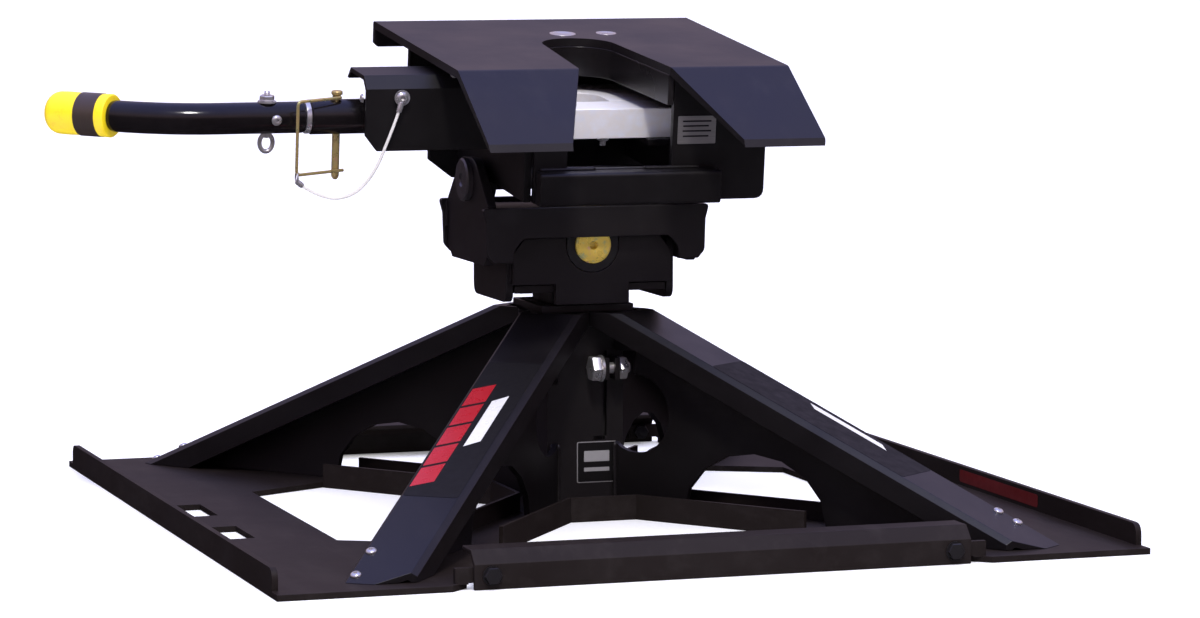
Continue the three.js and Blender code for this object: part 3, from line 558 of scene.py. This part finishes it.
# ---------------------------------------------------------------- lanyard, from the slide box to the bail
cord_radius = 0.0015
lanyard_route_mm = [
    (-207, -85, 99), (-209.5, -86, 91), (-213, -86, 80), (-218, -86, 66), (-223, -85, 52),
    (-228, -84, 38), (-234, -83, 26), (-241, -81, 15), (-250, -79, 6), (-260, -77, 1),
    (-271, -74, -1), (-282, -71, 1), (-292, -69, 5), (-301, -68, 10.5), (-308, -67, 16),
]
lanyard_line = smooth_route([head_frame @ (Vector(p) / 1000) for p in lanyard_route_mm])
bail_place = head_frame @ Matrix.Translation((pin_x, handle_y, 0)) @ Matrix.Rotation(bail_turn, 4, "Z")


def ferrule(name, place, body, length):
    """A crimped sleeve, thickest in the middle."""
    end, shoulder, waist, chamfer = 0.0016, 0.0026, 0.0029, 0.0008
    half = length / 2
    profile = [(end, -half), (shoulder, chamfer - half), (waist, 0), (shoulder, half - chamfer), (end, half)]
    return Piece().lathe(profile, place, 20).finish_zinc(name, body)


def lanyard_eyelet():
    """A flat eyelet between the bolt's head and the slide box."""
    outward = head_frame.to_3x3() @ Vector((0, -1, 0))
    place = aim(head_frame @ Vector((-0.207, -0.0836, 0.100)), outward)
    return Piece().washer(0.0030, 0.0078, -0.0002, 0.0010, place, 32).finish_zinc("lanyard_eyelet", "head")


def lanyard_ring():
    """A small wire ring around the bail's lower corner."""
    ring_radius, wire_radius = 0.0048, 0.0009
    corner = bail_place @ Vector((0.001 - bail["reach"], -bail["aside"], bail["bottom"] + 0.001))
    centre = (corner + lanyard_line[-1]) / 2
    rings = []
    for turn in circle(22):
        out = Matrix.Rotation(turn, 3, "X") @ Vector((0, 1, 0))
        side = Vector((1, 0, 0))
        rings.append([
            centre + out * (ring_radius + wire_radius * math.cos(a)) + side * (wire_radius * math.sin(a))
            for a in circle(8)
        ])
    return Piece().rings(rings, True).finish_zinc("lanyard_ring", "lock_bail")


def lanyard():
    """Three lengths of one cable, left unattached; the fittings at its ends ride on the head and the bail.
    """
    line = lanyard_line
    upper_crimp = aim(line[4], line[3] - line[5])
    lower_crimp = aim(line[-3], line[-1] - line[-5])
    upper = [lanyard_eyelet(), ferrule("lanyard_crimp_upper", upper_crimp, "head", 0.011)]
    lower = [lanyard_ring(), ferrule("lanyard_crimp_lower", lower_crimp, "lock_bail", 0.009)]
    spans = {
        "lanyard_upper": (0, 28, "head", "slide", upper),
        "lanyard_middle": (28, 42, "slide", "lock_pin", []),
        "lanyard_lower": (42, 56, "lock_pin", "lock_bail", lower),
    }
    for name, (first, last, near_body, far_body, fittings) in spans.items():
        path = line[first:last + 1]
        replaced = ("lanyard",) if first == 0 else ()
        piece = Piece().sweep(path, [cord_radius] * len(path), 12).finish(
            name, finishes["lanyard_coat"], None, "lanyard_coat", replaced)
        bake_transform(piece)


lanyard()


# ---------------------------------------------------------------- plates: the CAD pieces with rounded edges
edge_rounding = {
    "bed_plate_coat": 0.0012,
    "leg_coat": 0.0010,
    "pedestal_coat": 0.0010,
    "stool_coat": 0.0010,
    "saddle_coat": 0.0010,
    "head_coat": 0.0010,
    "plate_coat": 0.0012,
    "jaw_zinc": 0.0008,
    "inner_steel": 0.0006,
    "bushing_plastic": 0.0006,
}


def refine(node_name, slot):
    """The same solid with its edges rounded and its round faces smooth."""
    source = nodes[node_name]
    mesh = bmesh.new()
    mesh.from_mesh(source.data)
    bmesh.ops.remove_doubles(mesh, verts=mesh.verts, dist=2e-6)
    bmesh.ops.dissolve_limit(mesh, angle_limit=math.radians(0.7), verts=mesh.verts, edges=mesh.edges)
    bmesh.ops.recalc_face_normals(mesh, faces=mesh.faces)
    coat = finishes["throat_coat" if node_name == "throat_wall" else slot]
    settle("fine_" + node_name, mesh, coat, source["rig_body"], (node_name,), edge_rounding[slot])


for node_name, node in list(nodes.items()):
    slot_name = node.material_slots[0].material.name.split(".")[0]
    node.material_slots[0].material = finishes[slot_name]
    if slot_name in edge_rounding:
        refine(node_name, slot_name)


# ---------------------------------------------------------------- handle, grip and ring
handle_start = -0.296
bend_start = -0.382
bend_radius = 0.130
bend_turn = math.radians(43)
handle_drop = 0.007
tube_radius = 0.0156
tube_in_grip = 0.009
grip_radius = 0.0215
grip_length = 0.072
grip_nose = 0.014
straight_length = handle_start - bend_start
arc_length = bend_radius * bend_turn
handle_length = straight_length + arc_length + tube_in_grip


def handle_point(s):
    """A point at distance s along the handle's centre line."""
    turned = max(0, min(1, (s - straight_length) / arc_length)) * bend_turn
    beyond = max(s - straight_length - arc_length, 0)
    x = handle_start - min(s, straight_length) - bend_radius * math.sin(turned) - beyond * math.cos(turned)
    y = handle_y + bend_radius * (1 - math.cos(turned)) + beyond * math.sin(turned)
    fall = max(s - straight_length, 0) / (arc_length + grip_length)
    return head_frame @ Vector((x, y, handle_z - handle_drop * fall * fall))


def handle_bar():
    """The bent tube, and the frame at its outer end."""
    spans = 60
    path = [handle_point(handle_length * i / spans) for i in range(spans + 1)]
    radii = [tube_radius] * len(path)
    radii[0] = radii[-1] = tube_radius - 0.0008
    Piece().sweep(path, radii, 48).finish(
        "handle_bar", finishes["handle_coat"], "slide", "handle_coat", ("handle_tube",))
    along = (path[-1] - path[-3]).normalized()
    return aim(path[-1] + along * 0.0003, along)


def grip(place):
    """A dipped vinyl grip with a soft nose, a slightly wavy wall and a dark band."""
    r, nose = grip_radius, grip_nose
    lip, shrink, swell = 0.0018, 0.0004, 0.00025
    wall_steps, nose_steps = 11, 8
    profile = [(r - 0.0040, 0), (r - 0.0012, 0.0004), (r, lip)]
    for i in range(1, wall_steps + 1):
        wave = swell * math.sin(math.pi * i / wall_steps * 3)
        profile.append((r - shrink + wave, lip + (grip_length - nose - lip) * i / wall_steps))
    for i in range(1, nose_steps + 1):
        turn = math.pi / 2 * i / nose_steps
        radius = r - nose + (nose - shrink) * math.cos(turn)
        profile.append((radius, grip_length - nose + nose * math.sin(turn)))
    Piece().lathe(profile, place, 56).finish(
        "grip", finishes["grip_vinyl"], "slide", "grip_vinyl", ("handle_grip",))
    low, high, inner, outer = 0.010, 0.034, r - 0.002, r + 0.00008
    band = [(inner, low), (outer, low + 0.0001), (outer, high - 0.0001), (inner, high)]
    Piece().lathe(band, place, 56).finish("grip_band", band_film, "slide", "grip_vinyl")


def shaft_sleeve():
    """The slide's shaft and the bright ring at its outer end."""
    outer_end, inner_end, ring_at = -0.290, -0.0903, -0.2957
    length = inner_end - outer_end
    sleeve = [(0.0160, 0), (0.0173, 0.0010), (0.0173, length - 0.001), (0.0163, length)]
    shaft = aim((outer_end, handle_y, handle_z), (1, 0, 0), head_frame)
    Piece().lathe(sleeve, shaft, 48).finish(
        "sleeve", finishes["handle_coat"], "slide", "handle_coat", ("slide_shaft",))
    collar = [(0.0150, 0), (0.0162, 0.0004), (0.0165, 0.0027), (0.0162, 0.0050), (0.0150, 0.0054)]
    ring = aim((ring_at, handle_y, handle_z), (1, 0, 0), head_frame)
    Piece().lathe(collar, ring, 48).finish_zinc("sleeve_ring", "slide", ("shaft_ring",))


def pull_eyebolt():
    """An eyebolt through the handle: nut and washer on top, an oval ring below."""
    x, r, bolt_radius = -0.333, tube_radius, 0.0031
    half_width, half_height, wire_radius = 0.0066, 0.0088, 0.0023
    up = aim((x, handle_y, handle_z), (0, 0, 1), head_frame)
    piece = Piece().hexagon(0.0075, r + 0.0017, r + 0.0070, up)
    piece.washer(0.0035, 0.0092, r - 0.0002, r + 0.0014, up, 28)
    piece.thread(bolt_radius, r + 0.0072, r + 0.0110, up)
    piece.rod(bolt_radius, -r - 0.0040, r + 0.0060, up, 20)
    centre = head_frame @ Vector((x, handle_y, handle_z - r - 0.0092))
    axes = head_frame.to_3x3()
    side = axes @ Vector((0, 1, 0))
    rings = []
    for turn in circle(36):
        out = axes @ Vector((math.cos(turn), 0, math.sin(turn)))
        on_ring = centre + axes @ Vector((half_width * math.cos(turn), 0, half_height * math.sin(turn)))
        rings.append([on_ring + (out * math.cos(a) + side * math.sin(a)) * wire_radius for a in circle(12)])
    piece.rings(rings, True).finish_zinc("pull_eyebolt", "slide", ("eyebolt",))


def pin_and_bail():
    """The lock pin with its flat head, and the bent wire bail that hangs from it."""
    gold = finishes["pin_yellow_zinc"]
    up = aim((pin_x, handle_y, 0), (0, 0, 1), head_frame)
    profile = [
        (0.0018, 0.0120), (0.0036, 0.0145), (0.0039, 0.0165), (0.0039, 0.0965),
        (0.0056, 0.0972), (0.0056, 0.0999), (0.0048, 0.1009), (0.0010, 0.1010),
    ]
    Piece().lathe(profile, up, 28).finish("pull_pin", gold, "lock_pin", "pin_yellow_zinc", ("lock_pin",))
    reach, top, bottom, aside = (bail[k] for k in ("reach", "top", "bottom", "aside"))
    turns = [
        (0, 0.0055, top), (0, -aside, top), (-reach, -aside, top), (-reach, -aside, bottom),
        (0.004, -aside, bottom),
    ]
    route = [bail_place @ p for p in round_corners(turns, [0.003, 0.005, 0.005])]
    Piece().sweep(route, [bail["wire"]] * len(route), 14).finish(
        "pin_bail", gold, "lock_bail", "pin_yellow_zinc", ("lock_bail",))


grip(handle_bar())
shaft_sleeve()
pull_eyebolt()
pin_and_bail()


# ---------------------------------------------------------------- bolts and pins
def bar_bolts():
    """Black bolts with washers and nuts through the cross bars' ends."""
    head_radius, bolt_radius, head = 0.0085, 0.0040, 0.0044
    for corner, (_, side_y) in corners.items():
        node = "bar_bolt_" + corner
        low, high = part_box(node)
        face = high.y if side_y > 0 else low.y
        place = aim((centre_of(node, x_axis), face, centre_of(node, z_axis)), (0, -side_y, 0))
        depth = high.y - low.y
        piece = Piece().hexagon(head_radius, 0.0002, head, place)
        piece.washer(bolt_radius, 0.0092, head, head + 0.0010, place, 28)
        piece.rod(bolt_radius, 0.0040, depth - 0.0050, place, 20)
        piece.hexagon(head_radius, depth - 0.0090, depth - 0.0022, place)
        piece.thread(bolt_radius - 0.0001, depth - 0.0024, depth - 0.0002, place)
        piece.finish("corner_bolt_" + corner, bolt_black, "base", "hardware_zinc", (node,))


def clamping_bolt():
    """The bright bolt that squeezes the pedestal's split lug."""
    y, z, bolt_radius, chamfer = -0.056, 0.1495, 0.0059, 0.0012
    place = aim((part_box("clamp_bolt")[0].x, y, z), (1, 0, 0))
    piece = Piece().hexagon(0.0135, 0.0001, 0.0100, place, chamfer)
    piece.washer(0.0060, 0.0134, 0.0100, 0.0126, place, 36)
    piece.rod(bolt_radius, 0.0100, 0.0300, place, 28)
    piece.hexagon(0.0125, 0.0294, 0.0378, place, chamfer)
    piece.thread(bolt_radius, 0.0376, 0.0418, place, 0.0014, 32)
    piece.finish_zinc("clamping_bolt", "clamp_bolt", ("clamp_bolt",))


def button_bolt(name, place, radius, body, replaces=(), shank=0.0):
    """A domed head with a hex socket, standing on the frame's XY plane."""
    height = radius * 0.55
    rim, dome_steps, steps_to_pole = 0.18, 5, 7
    top = math.sin(math.pi / 2 * dome_steps / steps_to_pole)
    profile = [(radius, 0.00005), (radius, height * rim)]
    for i in range(1, dome_steps + 1):
        turn = math.pi / 2 * i / steps_to_pole
        profile.append((radius * math.cos(turn), height * (rim + (1 - rim) * math.sin(turn) / top)))
    socket = ((0.40, 1), (0.38, 0.45), (0.02, 0.42))
    profile += [(radius * r, height * z) for r, z in socket]
    piece = Piece().lathe(profile, place, 30)
    if shank:
        piece.rod(radius * 0.5, -shank, 0.0002, place, 18)
    piece.finish_zinc(name, body, replaces)


def foot_bolts():
    """Two button bolts at each leg's foot, off the leg's middle line."""
    aside = 0.0228
    for corner, (side_x, side_y) in corners.items():
        for number, t in enumerate((0.500, 0.538) if side_x < 0 else (0.486, 0.507)):
            place = on_leg(corner, t, -side_x * side_y * aside)
            button_bolt(f"foot_bolt_{corner}_{number}", place, 0.0052, "base")


def plate_plugs():
    """Two flush plugs in the top plate, in front of the throat."""
    for number, (x, r) in enumerate(((0.003, 0.0136), (0.050, 0.0106))):
        place = head_frame @ Matrix.Translation((x, 0.060, 0.138))
        rim = [(r, 0.00002), (r - 0.0002, 0.0005), (r * 0.72, 0.0008)]
        profile = [*rim, (r * 0.64, 0.0003), (0.0005, 0.0003)]
        Piece().lathe(profile, place, 40).finish_zinc(f"plate_plug_{number}", "head")


def head_bolts():
    """The small bolts on the slide box, the handle and the slide bar."""
    box_top = aim((-0.150, -0.066, 0.1182), (0, -0.6, 0.8), head_frame)
    box_mouth = aim((-0.2423, -0.066, 0.097), (-1, 0, 0), head_frame)
    lanyard_end = aim((-0.207, -0.0842, 0.100), (0, -1, 0), head_frame)
    on_handle = aim((-0.3265, handle_y - tube_radius + 0.0003, handle_z), (0, -1, 0), head_frame)
    under_bar = aim((0.014, -0.050, 0.0526), (0, 0, -1), head_frame)
    button_bolt("box_top_bolt", box_top, 0.0048, "head")
    button_bolt("box_mouth_bolt", box_mouth, 0.0045, "head")
    button_bolt("lanyard_button", lanyard_end, 0.0060, "head", ("lanyard_bolt",), 0.010)
    button_bolt("handle_button", on_handle, 0.0052, "slide")
    stop = Piece().hexagon(0.0062, 0, 0.0055, under_bar).thread(0.0032, 0.0053, 0.0110, under_bar)
    stop.finish_zinc("bar_stop_bolt", "slide")


def roll_shaft():
    """The yellow roll pin, with centre-drilled ends."""
    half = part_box("roll_pin")[1].y
    r, length = 0.0185, 2 * half
    near_end = [(0.0030, 0.0060), (0.0045, 0.0010), (0.0060, 0.0002), (r - 0.0020, 0.0002), (r, 0.0020)]
    far_end = [(radius, length - height) for radius, height in reversed(near_end)]
    place = aim((pedestal_x, -half, roll_height), (0, 1, 0))
    Piece().lathe(near_end + far_end, place, 48).finish(
        "roll_shaft", finishes["roll_pin_yellow_zinc"], "column", "roll_pin_yellow_zinc", ("roll_pin",))


def pitch_pivots():
    """The pitch shaft with its disc head, and the collar on its other end."""
    low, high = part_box("pitch_shaft")
    length = high.x - low.x
    shaft = [
        (0.0060, 0.0022), (0.0075, 0.0004), (0.0200, 0.0004), (0.0219, 0.0020), (0.0219, 0.0069),
        (0.0110, 0.0070), (0.0110, length - 0.0016), (0.0095, length - 0.0002),
    ]
    place = aim((low.x, 0, pitch_height), (1, 0, 0))
    # The shaft and its disc take the zinc copy with painted shade.
    Piece().lathe(shaft, place, 48).finish(
        "pivot_shaft", painted_shade_zinc, "saddle", "hardware_zinc", ("pitch_shaft",))
    low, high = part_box("pitch_retainer")
    width = high.x - low.x
    collar = [
        (0.0114, 0.0002), (0.0176, 0.0002), (0.0180, 0.0008), (0.0180, width - 0.0012),
        (0.0170, width - 0.0002), (0.0114, width - 0.0002),
    ]
    place = aim((low.x, 0, pitch_height), (1, 0, 0))
    Piece().lathe(collar, place, 40, True).finish_zinc("pivot_collar", "saddle", ("pitch_retainer",))


bar_bolts()
clamping_bolt()
foot_bolts()
plate_plugs()
head_bolts()
roll_shaft()
pitch_pivots()


# ---------------------------------------------------------------- welds
def weld(name, start, end, radius, body, slot):
    """A rippled bead from start to end, in the slot's own coat."""
    start, end = Vector(start), Vector(end)
    ripple, tip = 0.0016, 0.35
    count = max(6, int((end - start).length / ripple))
    points = [start.lerp(end, i / count) for i in range(count + 1)]
    radii = [
        radius * (0.80 + 0.20 * abs(math.sin(i * 1.25)) + 0.05 * math.sin(i * 0.37))
        for i in range(count + 1)
    ]
    radii[0] = radii[-1] = radius * tip
    Piece().sweep(points, radii, 8).finish(name, finishes[slot], body, slot)


def web_welds():
    """Two beads where each leg's web meets the post."""
    post_corner, half_web, low, high = 0.0545, 0.0036, 0.0085, 0.072
    for i, (sx, sy) in enumerate(corners.values()):
        out = Vector((sx * leg["run"], sy * leg["reach"], 0)).normalized()
        across = Vector((-out.y, out.x, 0))
        for j, w in enumerate((-half_web, half_web)):
            foot = out * post_corner + across * w
            x, y = pedestal_x + foot.x, foot.y
            weld(f"web_weld_{i}_{j}", (x, y, low), (x, y, high), 0.0022, "base", "pedestal_coat")


def square_weld(name, side, half, z, radius):
    """A bead along one side of a square of the given half width about the pedestal."""
    turns = ((-1, -1), (1, -1), (1, 1), (-1, 1))
    ends = (turns[side], turns[(side + 1) % 4])
    start, end = [(pedestal_x + sx * half, sy * half, z) for sx, sy in ends]
    weld(f"{name}_{side}", start, end, radius, "base", "pedestal_coat")


def post_welds():
    """Beads round the post's foot and round its collar."""
    for side in range(4):
        square_weld("post_foot_weld", side, 0.0405, 0.0072, 0.0028)
        square_weld("collar_weld", side, 0.0450, 0.2002, 0.0022)


def head_weld(name, start, end, radius=0.0022):
    """A bead between two points given in the head's own frame."""
    weld(name, head_frame @ Vector(start), head_frame @ Vector(end), radius, "head", "head_coat")


def head_welds():
    """The beads under the top plate, round the slide box and along the cross member."""
    under, wall, member_y, member_z = 0.1292, 0.0972, -0.1465, 0.0368
    for side, label in ((-1, "left"), (1, "right")):
        head_weld(f"throat_weld_{label}", (side * 0.0548, -0.140, under), (side * 0.0455, -0.010, under))
        head_weld(f"wall_weld_{label}", (side * wall, -0.134, under), (side * wall, 0.088, under))
    head_weld("box_weld_side", (-wall, -0.0800, 0.050), (-wall, -0.0800, 0.108))
    head_weld("box_weld_top", (-wall, -0.064, 0.1212), (-wall, -0.018, 0.1212), 0.0018)
    for i, (start, end) in enumerate(((-0.083, -0.025), (0.025, 0.083))):
        head_weld(f"cross_member_weld_{i}", (start, member_y, member_z), (end, member_y, member_z))


def saddle_and_stool_welds():
    """Upright beads at the corners of the saddle and the stool."""
    for side, side_label in ((-1, "left"), (1, "right")):
        for end, end_label in ((-1, "rear"), (1, "front")):
            label = f"{side_label}_{end_label}"
            x, y = pedestal_x + side * 0.1128, end * 0.0707
            weld("saddle_weld_" + label, (x, y, 0.287), (x, y, 0.314), 0.0020, "saddle", "saddle_coat")
            x, y = pedestal_x + side * 0.0842, end * 0.0570
            weld("stool_weld_" + label, (x, y, 0.240), (x, y, 0.266), 0.0016, "column", "stool_coat")


web_welds()
post_welds()
head_welds()
saddle_and_stool_welds()


# ---------------------------------------------------------------- stickers, labels and cover plates
slope_stretch = math.sqrt(1 + leg_slope**2)
film_gap = 0.00003


def sticker(name, place, size, material, body, slot, thickness=0.0002, radius=0.003):
    """A thin film with round corners, just off the surface."""
    outline = rounded_box(*size, radius)
    Piece().slab(outline, film_gap, thickness, place).finish(name, material, body, slot)


def stripe(name, corner, t_span, w_span, material):
    """A bar with slanted ends on a leg's sticker."""
    slant, lift, thickness = 0.010, 0.00022, 0.0001
    (t0, t1), (w0, w1) = t_span, w_span
    outline = [(t0, w0), (t1, w0), (t1 - slant, w1), (t0 - slant, w1)]
    stretched = [(t * slope_stretch, w) for t, w in outline]
    bar = Piece().slab(stretched, lift, lift + thickness, on_leg(corner, 0))
    bar.finish(name, material, "base", "leg_coat")


def leg_stickers():
    """The film on the two rear legs, with plain red and white bars."""
    width = 0.0555
    for corner, (start, end) in {"left_rear": (0.172, 0.408), "right_rear": (0.188, 0.408)}.items():
        size = ((end - start) * slope_stretch, width)
        sticker("sticker_" + corner, on_leg(corner, (start + end) / 2), size, film_black, "base", "leg_coat")
    first, pitch, long = 0.222, 0.035, 0.031
    for i in range(5):
        t0 = first + i * pitch
        stripe(f"red_bar_left_{i}", "left_rear", (t0, t0 + long), (-0.0265, -0.0055), film_red)
    stripe("white_bar_left", "left_rear", (0.242, 0.322), (0.0010, 0.0150), film_white)
    stripe("white_bar_right", "right_rear", (0.283, 0.366), (0.0120, 0.0205), film_white)


def bordered_plate(name, place, width, length, face, rim, body, slot):
    """A plate with a thin border and a face a little above it."""
    border = 0.002
    sticker(name + "_border", place, (width, length), rim, body, slot, 0.0005, 0.0015)
    inner = place @ Matrix.Translation((0, 0, 0.0005))
    sticker(name + "_face", inner, (width - border, length - border), face, body, slot, 0.00025, 0.001)


def facing_rear(x, y, z, parent=Matrix()):
    """A frame whose +Z points to the rear and whose +Y points up."""
    return parent @ Matrix.Translation((x, y, z)) @ Matrix.Rotation(math.pi / 2, 4, "X")


def rating_plate():
    """The blank plate on the post, with two plain rows."""
    place = facing_rear(pedestal_x + 0.012, -0.0405, 0.052)
    bordered_plate("rating_plate", place, 0.042, 0.042, film_black, plate_rim, "base", "pedestal_coat")
    for i, (height, width) in enumerate(((0.006, 0.011), (-0.0075, 0.004))):
        row = place @ Matrix.Translation((0, height, 0.0008))
        sticker(f"rating_row_{i}", row, (0.027, width), film_grey, "base", "pedestal_coat", 0.0001, 0.0006)


def specification_label():
    """The blank foil label on the head, with four plain rows."""
    place = facing_rear(0.079, -0.146, 0.074, head_frame)
    bordered_plate("specification_label", place, 0.042, 0.030, label_foil, film_black, "head", "head_coat")
    for i, height in enumerate((0.0088, 0.0040, -0.0010, -0.0062)):
        short = i % 2
        row = place @ Matrix.Translation((-0.001 * short, height, 0.0008))
        size = (0.030 - 0.003 * short, 0.0016)
        sticker(f"label_row_{i}", row, size, film_black, "head", "head_coat", 0.0001, 0.0003)


def lip_patch():
    """The dark red mark inside the right foot plate's lip."""
    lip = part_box("foot_plate_right")[1].x - 0.006
    facing_left = Matrix.Rotation(-math.pi / 2, 4, "Y") @ Matrix.Rotation(math.pi / 2, 4, "Z")
    place = Matrix.Translation((lip, -0.115, 0.0165)) @ facing_left
    sticker("lip_patch", place, (0.200, 0.013), film_dark_red, "base", "bed_plate_coat")


leg_stickers()
rating_plate()
specification_label()
lip_patch()


# ---------------------------------------------------------------- floor and light
def floor():
    """A plain pale floor that reaches past every view."""
    reach, below = 60, 0.0002
    shade = Shade("floor", 0.9, Specular_IOR_Level=0.1)
    shade.color(shade.mix(shade.noise(0.6, 2), (0.86, 0.86, 0.86), (0.83, 0.83, 0.83)))
    shade.shader.inputs["Emission Color"].default_value = (1, 1, 1, 1)
    shade.shader.inputs["Emission Strength"].default_value = 0.22
    mesh = bmesh.new()
    bmesh.ops.create_grid(mesh, x_segments=8, y_segments=8, size=reach)
    data = bpy.data.meshes.new("floor")
    mesh.to_mesh(data)
    mesh.free()
    ground = bpy.data.objects.new("floor", data)
    ground.location.z = -below
    ground.data.materials.append(shade.material)
    ground.visible_glossy = False
    scene.collection.objects.link(ground)


sky_stops = [
    (0.00, (0.012, 0.009, 0.010)),
    (0.50, (0.035, 0.025, 0.028)),
    (0.55, (0.09, 0.064, 0.066)),
    (0.61, (0.36, 0.27, 0.31)),
    (0.67, (0.55, 0.41, 0.50)),
    (0.80, (0.42, 0.41, 0.74)),
    (0.95, (0.42, 0.47, 1.12)),
]


def sky_ramp(tree):
    """A ramp from straight down to straight up: dark, a warm horizon, then pale blue."""
    coordinates = tree.nodes.new("ShaderNodeTexCoord")
    split = tree.nodes.new("ShaderNodeSeparateXYZ")
    height = tree.nodes.new("ShaderNodeMapRange")
    height.inputs["From Min"].default_value = -1
    ramp = tree.nodes.new("ShaderNodeValToRGB")
    tree.links.new(coordinates.outputs["Generated"], split.inputs["Vector"])
    tree.links.new(split.outputs["Z"], height.inputs["Value"])
    tree.links.new(height.outputs["Result"], ramp.inputs["Fac"])
    elements = ramp.color_ramp.elements
    while len(elements) < len(sky_stops):
        elements.new(0.5)
    for element, (position, colour) in zip(elements, sky_stops):
        element.position = position
        element.color = (*colour, 1)
    return ramp.outputs["Color"]


def sky():
    """A soft sky to light and reflect, behind it a plain white backdrop."""
    world = bpy.data.worlds.new("sky")
    scene.world = world
    world.use_nodes = True
    tree = world.node_tree
    background = tree.nodes["Background"]
    tree.links.new(sky_ramp(tree), background.inputs["Color"])
    white = tree.nodes.new("ShaderNodeBackground")
    white.inputs["Color"].default_value = (1, 1, 1, 1)
    seen = tree.nodes.new("ShaderNodeLightPath")
    choose = tree.nodes.new("ShaderNodeMixShader")
    tree.links.new(seen.outputs["Is Camera Ray"], choose.inputs["Fac"])
    tree.links.new(background.outputs["Background"], choose.inputs[1])
    tree.links.new(white.outputs["Background"], choose.inputs[2])
    tree.links.new(choose.outputs["Shader"], tree.nodes["World Output"].inputs["Surface"])


def daylight():
    """A wide soft light from above that covers the whole floor evenly."""
    data = bpy.data.lights.new("daylight", "SUN")
    data.energy = 2.6
    data.angle = math.radians(75)
    light = bpy.data.objects.new("daylight", data)
    light.rotation_euler = (math.radians(12), math.radians(8), 0)
    light.visible_glossy = False
    scene.collection.objects.link(light)


def key_softbox():
    """A warmer round softbox, up to the left of the camera."""
    place, target = Vector((-1.0, -3.6, 4.6)), Vector((0.1, 0, 0.3))
    data = bpy.data.lights.new("key", "AREA")
    data.shape = "DISK"
    data.size = 0.7
    data.energy = 150
    data.color = (1, 0.97, 0.92)
    light = bpy.data.objects.new("key", data)
    light.location = place
    light.rotation_euler = (target - place).to_track_quat("-Z", "Y").to_euler()
    scene.collection.objects.link(light)


floor()
sky()
daylight()
key_softbox()
scene.view_settings.view_transform = "Standard"
